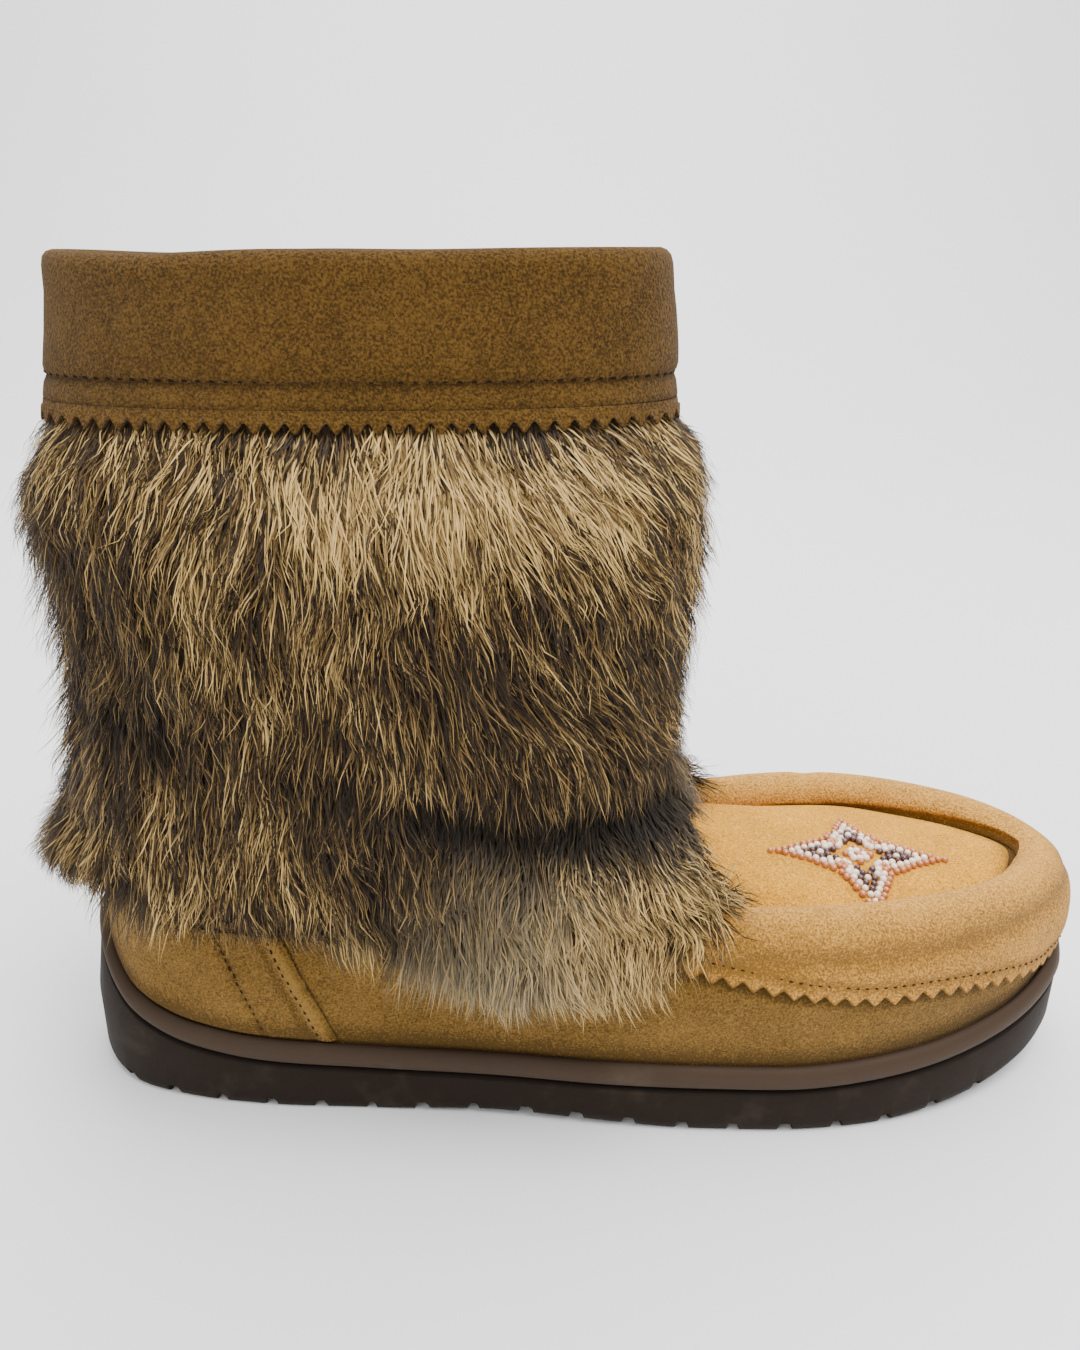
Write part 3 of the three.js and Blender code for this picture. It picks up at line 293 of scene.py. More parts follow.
class Form:
    """The skin of the boot as fine rings and turns, on which every sewn piece is laid."""

    TURNS = 560  # places round a ring
    STEPS = 12  # rings from one row of the tables to the next
    RELAX_PASSES = 80
    EVEN_PASSES = 6
    SURE = 0.55  # below this sine of the angle between round and up, the way outwards is unsure

    def __init__(self):
        turn = np.arange(self.TURNS) / self.TURNS
        along = along_at(turn)
        cup = CUP_WALL + CLEAR
        rings = [place_at(turn, cup, height(along) + CLEAR) for height in (floor_at, rand_top_at)]
        rings += [foot_ring(turn, row) for row in FOOT_RINGS]
        ankle = rings[-1][:, 2]
        for up, swell, drawn in SHAFT_RINGS:
            height = mix(ankle, RIM_HEIGHT, up)
            rings.append(np.concatenate([oval_at(turn, swell, drawn), height[:, None]], -1))
        self.grid = self.relaxed(self.rounded(np.array(rings)))
        self.ways = self.outwards(self.grid)

    def rounded(self, rings):
        """The rings with others between them, on smooth curves through each turn."""
        last = len(rings) - 1
        at = np.arange(last * self.STEPS + 1) / self.STEPS
        k = np.minimum(at.astype(int), last - 1)
        t = (at - k)[:, None, None]
        p0, p1, p2, p3 = (rings[np.clip(k + step, 0, last)] for step in (-1, 0, 1, 2))
        curl = 2 * p0 - 5 * p1 + 4 * p2 - p3 + t * (3 * (p1 - p2) + p3 - p0)
        return p1 + 0.5 * t * (p2 - p0 + t * curl)

    def relaxed(self, grid):
        """The rings of the apron without the folds that the toe's tight curve would give them."""
        ring = np.arange(len(grid)) / self.STEPS
        turn = np.arange(self.TURNS) / self.TURNS
        apron = smooth(ring, 6.0, 6.5) * (1 - smooth(ring, 8.5, 9.5))
        toe = 1 - smooth(np.abs(turn - 0.5), 0.04, 0.09)
        share = (apron[:, None] * toe)[..., None]
        even = grid
        for _ in range(self.RELAX_PASSES):
            even = even * 0.5 + (np.roll(even, 1, 1) + np.roll(even, -1, 1)) * 0.25
        return mix(grid, even, share)

    def outwards(self, grid):
        """The way outwards at each place, taken from above and below where rings run close."""
        unit = lambda v: v / np.maximum(np.linalg.norm(v, axis=-1, keepdims=True), 1e-9)
        round_way = unit(np.roll(grid, -1, 1) - np.roll(grid, 1, 1))
        ways = np.cross(round_way, unit(np.gradient(grid, axis=0)))
        sure = np.linalg.norm(ways, axis=-1) > self.SURE
        ways = unit(ways)
        rows = np.arange(len(grid))
        for c in range(self.TURNS):
            if not sure[:, c].all():
                for axis in range(3):
                    ways[:, c, axis] = np.interp(rows, rows[sure[:, c]], ways[sure[:, c], c, axis])
        for _ in range(self.EVEN_PASSES):
            ways = unit(sum(np.roll(ways, step, 1) for step in (-2, -1, 0, 1, 2)))
        return ways

    def at(self, turn, ring, out=0.0):
        """Places at turns and rings, moved outwards."""
        turn, ring, out = np.broadcast_arrays(np.asarray(turn, float), ring, out)
        column = (turn % 1) * self.TURNS
        row = np.clip(ring * self.STEPS, 0, len(self.grid) - 1.001)
        c, r = np.floor(column).astype(int) % self.TURNS, np.floor(row).astype(int)
        u, v = (column - np.floor(column))[..., None], (row - r)[..., None]
        blend = lambda grid: mix(
            mix(grid[r, c], grid[r, (c + 1) % self.TURNS], u),
            mix(grid[r + 1, c], grid[r + 1, (c + 1) % self.TURNS], u), v)
        way = blend(self.ways)
        way = way / np.linalg.norm(way, axis=-1, keepdims=True)
        return blend(self.grid) + way * out[..., None]

    def ring_at(self, turn, height, start=0.0):
        """The ring at which each turn first reaches a height."""
        rings = np.linspace(start, LAST_RING, self.STEPS * LAST_RING)
        heights = self.at(turn[:, None], rings[None, :])[..., 2]
        height = np.broadcast_to(height, turn.shape)
        first = np.clip(np.argmax(heights >= height[:, None], 1), 1, len(rings) - 1)
        pick = np.arange(len(turn))
        low, high = heights[pick, first - 1], heights[pick, first]
        share = np.clip((height - low) / np.maximum(high - low, 1e-6), 0, 1)
        found = mix(rings[first - 1], rings[first], share)
        return np.where((heights >= height[:, None]).any(1), found, LAST_RING)


form = Form()


# Meshes

def quads(rows, columns, wrap_columns, wrap_rows=False):
    """Faces of a grid of corners, closed on itself either way or both."""
    r = np.arange(rows if wrap_rows else rows - 1)
    c = np.arange(columns if wrap_columns else columns - 1)
    r, c = (grid.ravel() for grid in np.meshgrid(r, c, indexing="ij"))
    up, on = (r + 1) % rows, (c + 1) % columns
    return np.stack([r * columns + c, r * columns + on, up * columns + on, up * columns + c], -1)


def rungs(ring, facing_up):
    """Faces across a closed ring of corners, from its outer side to its inner side."""
    half = len(ring) // 2
    faces = []
    for k in range(half):
        face = [ring[k], ring[k + 1], ring[-k - 1], ring[-k % len(ring)]]
        face = list(dict.fromkeys(int(corner) for corner in face))
        if len(face) > 2:
            faces.append(face if facing_up else face[::-1])
    return faces


def linked(name, data):
    """A new object of a mesh, light or camera, in the scene."""
    thing = bpy.data.objects.new(name, data)
    bpy.context.scene.collection.objects.link(thing)
    return thing


def new_object(name, corners, faces, materials, material_at=None, sharp=40):
    """A mesh object at the origin from corners in millimetres, shaded smooth up to an angle."""
    mesh = bpy.data.meshes.new(name)
    mesh.from_pydata((np.asarray(corners, float) * MM).tolist(), [], [list(map(int, f)) for f in faces])
    for material in materials:
        mesh.materials.append(material)
    if material_at is not None:
        mesh.polygons.foreach_set("material_index", np.asarray(material_at, np.int32))
    mesh.polygons.foreach_set("use_smooth", np.ones(len(mesh.polygons), bool))
    mesh.set_sharp_from_angle(angle=math.radians(sharp))
    mesh.validate()
    mesh.update()
    return linked(name, mesh)


def paint(thing, name, values):
    """A number at each corner of a mesh, which its material reads by name."""
    layer = thing.data.attributes.new(name, "FLOAT", "POINT")
    layer.data.foreach_set("value", np.asarray(values, np.float32).ravel())


def paint_ways(thing, name, ways):
    """A direction at each corner of a mesh."""
    layer = thing.data.attributes.new(name, "FLOAT_VECTOR", "POINT")
    layer.data.foreach_set("vector", np.asarray(ways, np.float32).ravel())


def paint_shading(thing, worn, lit=None):
    """Paints shade into seams, grooves, creases and the undersides of edges, and a highlight where an
    edge catches the light.
    """
    paint(thing, "worn", worn)
    paint(thing, "lit", np.zeros(len(worn)) if lit is None else lit)


def hoop(name, rings, materials, material_rows=None, sharp=40):
    """A solid from rings that follow its cross-section all the way round."""
    rings = np.asarray(rings)
    faces = quads(len(rings), rings.shape[1], True, True)
    kinds = None if material_rows is None else np.repeat(material_rows, rings.shape[1])
    return new_object(name, rings.reshape(-1, 3), faces, materials, kinds, sharp)


def tub(name, rings, materials, sharp=40):
    """A solid from rings that close across the boot at the first and the last."""
    rings = np.asarray(rings)
    rows, columns = rings.shape[:2]
    faces = quads(rows, columns, True).tolist()
    faces += rungs(list(range(columns)), False)
    faces += rungs(list(range((rows - 1) * columns, rows * columns)), True)
    return new_object(name, rings.reshape(-1, 3), faces, materials, None, sharp)


def sheet(name, over, under, materials, sharp=40):
    """A panel with its four edges closed, from its upper and its coarser under layer."""
    columns = over.shape[1]
    loop = np.concatenate([over, under[::-1]])
    faces = quads(len(loop), columns, False, True).tolist()
    start = [k * columns for k in range(len(loop))]
    faces += [start, [corner + columns - 1 for corner in start][::-1]]
    return new_object(name, loop.reshape(-1, 3), faces, materials, None, sharp)


def coarse(values, rows=6):
    """Every few rows of a layer, with its first and its last."""
    return values[np.linspace(0, len(values) - 1, rows).astype(int)]


def layers(over, under):
    """What is painted on a panel's upper layer and on its coarser under layer."""
    return np.concatenate([over.ravel(), coarse(under)[::-1].ravel()])


def over_only(values):
    """What is painted on a panel whose under layer stays plain."""
    return layers(values, np.zeros(values.shape))


def rim_dipped(places):
    """Places near the rim, let down where the rim sags between its raised ends."""
    x, z = places[..., 0], places[..., 2]
    dip = sum(depth * ridge(x, along, reach) for along, reach, depth in RIM_SAGS)
    lower = places.copy()
    lower[..., 2] = z - dip * smooth(z, *SAG_HEIGHTS)
    return lower


def noise_at(places, scale, seed=0):
    """A smooth field of soft waves between -1 and 1, by place in millimetres."""
    total = np.zeros(places.shape[:-1])
    turner = np.random.default_rng(seed)
    for k in range(6):
        way = turner.normal(size=3)
        way *= 2 * np.pi / scale * turner.uniform(0.6, 1.5) / np.linalg.norm(way)
        total += np.sin(places @ way + turner.uniform(0, 6.3))
    return total / 3


# Creases of the suede: side (-1 outer, 1 inner), start and end from the side in
# millimetres, width and depth. A negative depth is a ridge.
CREASES = (
    (-1, 52, 26, 70, 44, 4.0, 0.5), (-1, 96, 24, 104, 40, 5.0, 0.6),
    (-1, 112, 25, 126, 38, 4.0, -0.4), (-1, 150, 26, 171, 36, 5.0, 0.5),
    (-1, 128, 49, 165, 44, 3.2, 0.8), (-1, 165, 44, 205, 43, 3.2, 0.7),
    (-1, 140, 58, 150, 47, 3.0, 0.5), (-1, 205, 50, 214, 41, 3.0, 0.5),
    (-1, -8, 38, 14, 47, 5.0, 0.6), (1, 60, 26, 80, 42, 5.0, 0.6),
    (1, 120, 26, 134, 40, 5.0, 0.5), (1, 150, 48, 190, 43, 3.2, 0.7),
    (1, 175, 58, 188, 44, 3.0, 0.5), (-1, 226, 52, 232, 38, 3.0, 0.4),
    (1, -6, 40, 16, 50, 5.0, 0.6), (1, 205, 52, 215, 40, 3.0, 0.5),
)


def gap_to(places, x0, z0, x1, z1):
    """How far places are from a straight line, seen from the side."""
    start, way = np.array([x0, z0], float), np.array([x1 - x0, z1 - z0], float)
    away = places[..., [0, 2]] - start
    share = np.clip(away @ way / (way @ way), 0, 1)
    return np.linalg.norm(away - share[..., None] * way, axis=-1)


def crease_at(places):
    """How far the suede stands out or sinks at places, by its creases."""
    total = np.zeros(places.shape[:-1])
    for side, x0, z0, x1, z1, width, depth in CREASES:
        here = smooth(places[..., 1] * side, 5, 15)
        total -= depth * here * ridge(gap_to(places, x0, z0, x1, z1), 0, width)
    return total


# Shaders

class Wire:
    """A socket in a shader, on which plain maths adds Math nodes."""

    def __init__(self, shader, socket):
        self.shader, self.socket = shader, socket

    def math(self, operation, first, second):
        return self.shader.node("ShaderNodeMath", {"operation": operation}, first, second)

    def __add__(self, other):
        return self.math("ADD", self, other)

    def __sub__(self, other):
        return self.math("SUBTRACT", self, other)

    def __rsub__(self, other):
        return self.math("SUBTRACT", other, self)

    def __mul__(self, other):
        return self.math("MULTIPLY", self, other)

    __radd__ = __add__
    __rmul__ = __mul__

    def between(self, low, high, to_low=0.0, to_high=1.0):
        """This value mapped from one range to another, eased at both ends."""
        kind = {"interpolation_type": "SMOOTHSTEP"}
        return self.shader.node("ShaderNodeMapRange", kind, self, low, high, to_low, to_high)


class Shader:
    """A material whose nodes come from one method."""

    def __init__(self, name, roughness, **constants):
        self.material = bpy.data.materials.new(name)
        self.material.use_nodes = True
        self.nodes = self.material.node_tree.nodes
        self.links = self.material.node_tree.links
        self.face = self.nodes["Principled BSDF"]
        self.face.inputs["Roughness"].default_value = roughness
        for socket, value in constants.items():
            self.face.inputs[socket.replace("_", " ")].default_value = value
        self.place = self.node("ShaderNodeTexCoord", output="Object")

    def node(self, kind, settings=None, *values, output=0, **named):
        """A node with its settings, and with its sockets given in order or by name."""
        made = self.nodes.new(kind)
        for key, value in (settings or {}).items():
            setattr(made, key, value)
        for key, value in [*enumerate(values), *((k.replace("_", " "), v) for k, v in named.items())]:
            if isinstance(value, Wire):
                self.links.new(value.socket, made.inputs[key])
            elif value is not None:
                made.inputs[key].default_value = value
        return Wire(self, made.outputs[output])

    def noise(self, scale, detail=3.0, roughness=0.55, stretch=None):
        place = self.place
        if stretch:
            place = self.node("ShaderNodeMapping", None, place, Scale=stretch)
        return self.node("ShaderNodeTexNoise", None, Vector=place, Scale=scale, Detail=detail,
                         Roughness=roughness)

    def read(self, name):
        """A number painted on the mesh."""
        return self.node("ShaderNodeAttribute", {"attribute_name": name}, output="Fac")

    def blend(self, low, high, share):
        """Two colours mixed by a share. The node takes them after five sockets of other kinds."""
        colours = [c if isinstance(c, Wire) else (*c[:3], 1) for c in (low, high)]
        return self.node("ShaderNodeMix", {"data_type": "RGBA"}, share, *[None] * 5, *colours, output=2)

    def finish(self, colour, roughness=None, height=None, distance=0.0005, strength=1.0):
        """Links the colour, and the roughness and the bump's height where there are any."""
        self.links.new(colour.socket, self.face.inputs["Base Color"])
        if roughness is not None:
            self.links.new(roughness.socket, self.face.inputs["Roughness"])
        if height is not None:
            bump = self.node("ShaderNodeBump", None, Height=height, Strength=strength, Distance=distance,
                             output="Normal")
            self.links.new(bump.socket, self.face.inputs["Normal"])
        return self.material


def darker(colour, share):
    return tuple(channel * share for channel in colour[:3])


def suede(name, colour, grain=1.0, mottle=1.0):
    """Napped suede: cloudy colour, clumped nap and pale fibre tips, with painted shade in seams, grooves
    and creases and a painted highlight on raised edges.
    """
    s = Shader(name, 0.92, Sheen_Weight=0.08, Sheen_Roughness=0.4, Specular_IOR_Level=0.08)
    cloud = s.noise(38, 3, 0.6)
    patch = s.noise(140, 3, 0.6)
    nap = s.noise(800, 5, 0.75)
    fibre = s.noise(1700, 2, 0.6)
    tone = (cloud - 0.5) * (0.45 * mottle) + (patch - 0.5) * (0.3 * mottle) + (nap - 0.5) * (0.6 * grain)
    # Painted shade darkens the suede and a painted highlight lightens it, from the numbers painted on its
    # mesh
    tone = tone + (fibre - 0.5) * (1.9 * grain) + s.read("worn") * -0.5 + s.read("lit") * 0.35
    share = tone.between(-0.55, 0.55)
    tips = tuple(min(1, channel * more) for channel, more in zip(colour, (1.55, 1.6, 1.7)))
    low = s.blend(darker(colour, 0.5), colour, share.between(0.0, 0.5))
    full = s.blend(low, tips, share.between(0.5, 1.0))
    height = nap * 0.5 + fibre * 0.8 + patch * 0.3
    return s.finish(full, None, height, 0.0009 * grain, 0.9)


def rubber(name, colour, raised):
    """Moulded rubber, a little dusty, with a finely pitted face."""
    s = Shader(name, 0.65, Specular_IOR_Level=0.15)
    cloud, pits = s.noise(55, 4, 0.6), s.noise(900, 3, 0.6)
    rand = s.read("rand")
    plain = s.blend(colour, raised, rand)
    dusty = s.blend(plain, (0.2, 0.16, 0.12), cloud.between(0.52, 0.85, 0, 0.16))
    # Painted shade: darker in the groove under the rand, inside the cup and along the bottom edge
    dark = s.blend(dusty, darker(colour, 0.25), s.read("worn"))
    gloss = 0.52 + cloud * 0.22 + pits * 0.1 - rand * 0.06
    return s.finish(dark, gloss, pits * 0.6 + cloud * 0.4, 0.00025, 0.5)


def fleece(name, colour):
    """Short curly lining."""
    s = Shader(name, 1.0, Sheen_Weight=0.3, Specular_IOR_Level=0.1)
    curl = s.node("ShaderNodeTexVoronoi", {"feature": "SMOOTH_F1"}, Vector=s.place, Scale=420)
    cloud = s.noise(150, 4, 0.6)
    full = s.blend(darker(colour, 0.5), colour, (curl + cloud).between(0.4, 1.2, 1.0, 0.0))
    return s.finish(full, None, curl * -1.0 + cloud * 0.5, 0.0015, 0.9)


def thread(name, colour):
    """Twisted thread."""
    s = Shader(name, 0.9, Specular_IOR_Level=0.1)
    twist = s.node("ShaderNodeTexWave", {"bands_direction": "DIAGONAL"}, Vector=s.place, Scale=900,
                   Distortion=1.5)
    return s.finish(s.blend(darker(colour, 0.55), colour, twist), None, twist, 0.0001, 0.6)


def glass_beads(name, pearl, copper, plum):
    """Glazed seed beads, coloured bead by bead from the chart."""
    s = Shader(name, 0.22, Coat_Weight=0.6, Coat_Roughness=0.12, Specular_IOR_Level=0.6)
    tint = s.read("tint")
    vary = s.noise(420, 2, 0.5)
    metal = tint.between(0.6, 1.4) * (1.0 - tint.between(1.6, 2.4))
    colour = s.blend(pearl, copper, tint.between(0.4, 0.6))
    colour = s.blend(colour, plum, tint.between(1.4, 1.6))
    colour = s.blend(colour, darker(copper, 0.7), vary.between(0.45, 0.75) * 0.25)
    s.links.new((metal * 0.35).socket, s.face.inputs["Metallic"])
    return s.finish(colour, 0.18 + vary * 0.14)


def hair(name, look):
    """Rabbit hair: dark roots, banded middles and pale or dark tips, by region and by hair."""
    s = Shader(name, 0.62, Specular_IOR_Level=0.2, Sheen_Weight=0.05)
    along, tone, own, shade = (s.read(key) for key in ("along", "tone", "own", "shade"))
    # Besides the fur's own colour, this reads painted shade over the pelt's folds
    level = (tone + (own - 0.5) * 1.15).between(0.0, 1.0)
    middle = s.blend(look["dark"], look["brown"], level.between(0.0, 0.45))
    middle = s.blend(middle, look["cream"], level.between(0.45, 0.95))
    grey = s.blend(middle, look["grey"], s.read("grey") * 0.6)
    band = (along + s.read("top") * 0.5).between(0.2, 0.68)
    body = s.blend(look["root"], grey, band)
    tip = s.blend(body, look["tip"], along.between(0.6, 1.0) * own.between(0.5, 0.85) * 0.7)
    soot = along.between(0.78, 1.0) * own.between(0.35, 0.1) * 0.8
    sooty = s.blend(tip, darker(look["root"], 0.6), soot)
    deep = s.blend(sooty, darker(look["root"], 0.35), shade)
    return s.finish(deep, 0.5 + along * 0.2)


def pelt_skin(name, look):
    """The dark pelt between the hairs."""
    s = Shader(name, 0.95)
    fine = s.noise(700, 3, 0.7, (1.0, 1.0, 0.3))
    full = s.blend(darker(look["root"], 0.5), darker(look["brown"], 0.5), fine)
    return s.finish(full, None, fine, 0.001, 0.8)


# Trees that repeat a small shape

class Tree:
    """A Geometry Nodes tree whose nodes come from one method."""

    def __init__(self, name, inputs):
        self.group = bpy.data.node_groups.new(name, "GeometryNodeTree")
        self.group.interface.new_socket("Geometry", in_out="INPUT", socket_type="NodeSocketGeometry")
        self.keys = {}
        for label, kind, value in inputs:
            socket = self.group.interface.new_socket(label, in_out="INPUT", socket_type=kind)
            if value is not None:
                socket.default_value = value
            self.keys[label] = socket.identifier
        self.group.interface.new_socket("Geometry", in_out="OUTPUT", socket_type="NodeSocketGeometry")
        self.start = self.group.nodes.new("NodeGroupInput")

    def node(self, kind, settings=None, **inputs):
        """A node with its settings and inputs. An input is named, or numbered as _0, _1 and so on."""
        made = self.group.nodes.new(kind)
        for key, value in (settings or {}).items():
            setattr(made, key, value)
        for key, value in inputs.items():
            key = int(key[1:]) if key[0] == "_" else key.replace("_", " ")
            if isinstance(value, bpy.types.NodeSocket):
                self.group.links.new(value, made.inputs[key])
            else:
                made.inputs[key].default_value = value
        return made

    def given(self, label):
        return self.start.outputs[label]

    def named(self, name, kind="FLOAT_VECTOR"):
        return self.node("GeometryNodeInputNamedAttribute", {"data_type": kind}, Name=name).outputs[0]

    def math(self, operation, a, b=0.0, c=0.0):
        return self.node("ShaderNodeMath", {"operation": operation}, _0=a, _1=b, _2=c).outputs[0]

    def vector(self, operation, a, b):
        return self.node("ShaderNodeVectorMath", {"operation": operation}, _0=a, _1=b).outputs[0]

    def scaled(self, a, size):
        return self.node("ShaderNodeVectorMath", {"operation": "SCALE"}, _0=a, Scale=size).outputs[0]

    def draw(self, low, high, step=0):
        """A random number for each point, drawn with the tree's seed and a step of its own."""
        seed = self.math("ADD", self.given("Seed"), step)
        drawn = self.node("FunctionNodeRandomValue", {"data_type": "FLOAT"}, _2=low, _3=high, Seed=seed)
        return drawn.outputs[1]

    def shape(self, label):
        """The mesh of the object that an input names."""
        return self.node("GeometryNodeObjectInfo", None, Object=self.given(label)).outputs["Geometry"]

    def turned(self, way, axis, rotation=None, pivot="AUTO"):
        """A rotation that lays an axis along a way."""
        more = {} if rotation is None else {"Rotation": rotation}
        return self.node("FunctionNodeAlignRotationToVector", {"axis": axis, "pivot_axis": pivot},
                         Vector=way, **more).outputs[0]

    def placed(self, points, shape, rotation, scale):
        """The shape on every point, as real faces."""
        copies = self.node("GeometryNodeInstanceOnPoints", None, Points=points, Instance=shape,
                           Rotation=rotation, Scale=scale)
        return self.node("GeometryNodeRealizeInstances", None, Geometry=copies.outputs[0]).outputs[0]

    def close(self, geometry):
        painted = self.node("GeometryNodeSetMaterial", None, Geometry=geometry,
                            Material=self.given("Material"))
        out = self.group.nodes.new("NodeGroupOutput")
        self.group.links.new(painted.outputs[0], out.inputs[0])

    def run(self, name, base, values):
        """The plain mesh that the tree makes on an object, as a new object."""
        modifier = base.modifiers.new(self.group.name, "NODES")
        modifier.node_group = self.group
        for label, value in values.items():
            modifier[self.keys[label]] = value
        bpy.context.view_layer.update()
        graph = bpy.context.evaluated_depsgraph_get()
        mesh = bpy.data.meshes.new_from_object(base.evaluated_get(graph))
        base.modifiers.remove(modifier)
        mesh.name = name
        return linked(name, mesh)


def setting_tree():
    """Sets a small shape on each point of a mesh, turned by the point's own directions."""
    tree = Tree("set_on_points", [
        ("Shape", "NodeSocketObject", None), ("Size", "NodeSocketFloat", 1.0),
        ("Jitter", "NodeSocketFloat", 0.0), ("Seed", "NodeSocketInt", 3),
        ("Material", "NodeSocketMaterial", None),
    ])
    lie = tree.turned(tree.named("lie"), "X")
    stand = tree.turned(tree.named("stand"), "Z", lie, "X")
    vary = tree.math("MULTIPLY_ADD", tree.draw(-1.0, 1.0), tree.given("Jitter"), 1.0)
    size = tree.math("MULTIPLY", vary, tree.given("Size"))
    tree.close(tree.placed(tree.given("Geometry"), tree.shape("Shape"), stand, size))
    return tree


def hair_tree():
    """Grows tapered, bent hairs over a pelt that is painted with where and how they lie."""
    tree = Tree("grow_hair", [
        ("Blade", "NodeSocketObject", None), ("Region", "NodeSocketString", "outer"),
        ("Density", "NodeSocketFloat", 1.0), ("Length", "NodeSocketFloat", 0.02),
        ("Width", "NodeSocketFloat", 0.0005), ("Lift", "NodeSocketFloat", 0.4),
        ("Stray", "NodeSocketFloat", 0.3), ("Clump", "NodeSocketFloat", 0.004),
        ("Seed", "NodeSocketInt", 1), ("Material", "NodeSocketMaterial", None),
    ])
    region = tree.named(tree.given("Region"), "FLOAT")
    spread = tree.node("GeometryNodeDistributePointsOnFaces", {"distribute_method": "RANDOM"},
                       Mesh=tree.given("Geometry"), Seed=tree.given("Seed"),
                       Density=tree.math("MULTIPLY", region, tree.given("Density")))
    normal = spread.outputs["Normal"]
    points = tree.node("GeometryNodeStoreNamedAttribute", {"data_type": "FLOAT", "domain": "POINT"},
                       Geometry=spread.outputs["Points"], Name="own", Value=tree.draw(0.0, 1.0, 5))
    stray = tree.node("FunctionNodeRandomValue", {"data_type": "FLOAT_VECTOR"}, _0=(-1, -1, -1),
                      _1=(1, 1, 1), Seed=tree.math("ADD", tree.given("Seed"), 11))
    lifted = tree.math("MULTIPLY", tree.given("Lift"), tree.draw(0.6, 1.4, 7))
    way = tree.vector("ADD", tree.named("comb"), tree.scaled(normal, lifted))
    way = tree.vector("ADD", way, tree.scaled(stray.outputs[0], tree.given("Stray")))
    face = tree.turned(normal, "X", tree.turned(way, "Z"), "Z")
    length = tree.math("MULTIPLY", tree.given("Length"), tree.draw(0.55, 1.25, 9))
    length = tree.math("MULTIPLY", length, tree.named("long", "FLOAT"))
    width = tree.math("MULTIPLY", tree.given("Width"), tree.draw(0.7, 1.4, 13))
    size = tree.node("ShaderNodeCombineXYZ", None, X=length, Y=width, Z=length)
    grown = tree.placed(points.outputs[0], tree.shape("Blade"), face, size.outputs[0])
    wave = tree.node("ShaderNodeTexNoise", None, Scale=85.0, Detail=2.0)
    centred = tree.vector("SUBTRACT", wave.outputs["Color"], (0.5, 0.5, 0.5))
    tip = tree.math("POWER", tree.named("along", "FLOAT"), 1.6)
    pull = tree.scaled(centred, tree.math("MULTIPLY", tip, tree.given("Clump")))
    clumped = tree.node("GeometryNodeSetPosition", None, Geometry=grown, Offset=pull)
    tree.close(clumped.outputs[0])
    return tree


def points_object(name, places, lie, stand, **numbers):
    """A mesh of loose points that carry the directions and numbers of what is set on them."""
    mesh = bpy.data.meshes.new(name)
    mesh.from_pydata((np.asarray(places) * MM).tolist(), [], [])
    thing = linked(name, mesh)
    paint_ways(thing, "lie", lie)
    paint_ways(thing, "stand", stand)
    for key, values in numbers.items():
        paint(thing, key, values)
    return thing


def remove(*things):
    for thing in things:
        bpy.data.objects.remove(thing)


def dress(thing, slot, *nodes):
    """Ties a finished piece to the boot's body and hides the solids that it stands for. The slot is not
    used.
    """
    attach(thing, BODY)
    if nodes:
        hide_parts(*nodes)


# What a user would change

def colour_property(name, description, default):
    return bpy.props.FloatVectorProperty(
        name=name, description=description, subtype="COLOR", size=3, min=0, max=1, default=default)


def amount(name, description, default, **kind):
    return bpy.props.FloatProperty(name=name, description=description, default=default, **kind)


class BootColours(bpy.types.PropertyGroup):
    foot: colour_property("Foot suede", "Suede of the quarter and heel", (0.185, 0.1, 0.022))
    roll: colour_property("Roll suede", "Suede of the padded toe roll", (0.47, 0.23, 0.045))
    apron: colour_property("Apron suede", "Suede of the apron", (0.64, 0.295, 0.028))
    cuff: colour_property("Cuff suede", "Suede of the cuff", (0.088, 0.045, 0.009))
    lining: colour_property("Lining", "Fleece inside the boot", (0.46, 0.31, 0.16))
    rubber: colour_property("Rubber", "Side of the sole", (0.012, 0.0062, 0.003))
    rand: colour_property("Rand", "Bead round the top of the sole", (0.05, 0.031, 0.019))
    thread: colour_property("Thread", "Stitches of the foot", (0.05, 0.026, 0.01))
    pearl: colour_property("Pearl beads", "Pale beads of the star", (1.0, 0.84, 0.68))
    copper: colour_property("Copper beads", "Edge beads of the star", (0.55, 0.19, 0.07))
    plum: colour_property("Plum beads", "Dark beads of the star", (0.07, 0.022, 0.026))


class FurSettings(bpy.types.PropertyGroup):
    count: bpy.props.IntProperty(name="Hairs in each part", description="Hairs in each of the four parts",
                                 default=31000, min=100, max=38000)
    length: amount("Length", "Length of a hair", 0.0165, unit="LENGTH")
    width: amount("Width", "Width of a hair", 0.00029, unit="LENGTH")
    lift: amount("Lift", "How far hairs stand off the pelt, as a slope", 0.27)
    stray: amount("Stray", "How unevenly hairs lie", 0.3)
    clump: amount("Clump", "How far tips gather in clumps", 0.013, unit="LENGTH")


class SewingSettings(bpy.types.PropertyGroup):
    pitch: amount("Stitch", "From stitch to stitch on the roll, in millimetres", 2.5)
    pink_pitch: amount("Pinking", "From tooth to tooth on the roll, in millimetres", 5.3)
    pink_depth: amount("Pinking depth", "Depth of a tooth on the roll, in millimetres", 2.3)
    bead: amount("Bead", "Width of a bead in millimetres", 1.95)


class StageSettings(bpy.types.PropertyGroup):
    lens: amount("Lens", "Focal length on a 36 mm sensor", 28.27)
    pitch: amount("Pitch", "How far the camera looks down", math.radians(22), subtype="ANGLE")
    place: bpy.props.FloatVectorProperty(name="Camera", description="Place of the camera", unit="LENGTH",
                                         default=(0.0903, -0.26, 0.22))
    floor: colour_property("Floor", "Pale floor", (0.93, 0.93, 0.93))


def settings(name):
    return getattr(bpy.context.scene, name)


# Sewing

STITCH_RING = 6  # corners round a stitch
BEAD_RING = 8  # corners round a bead


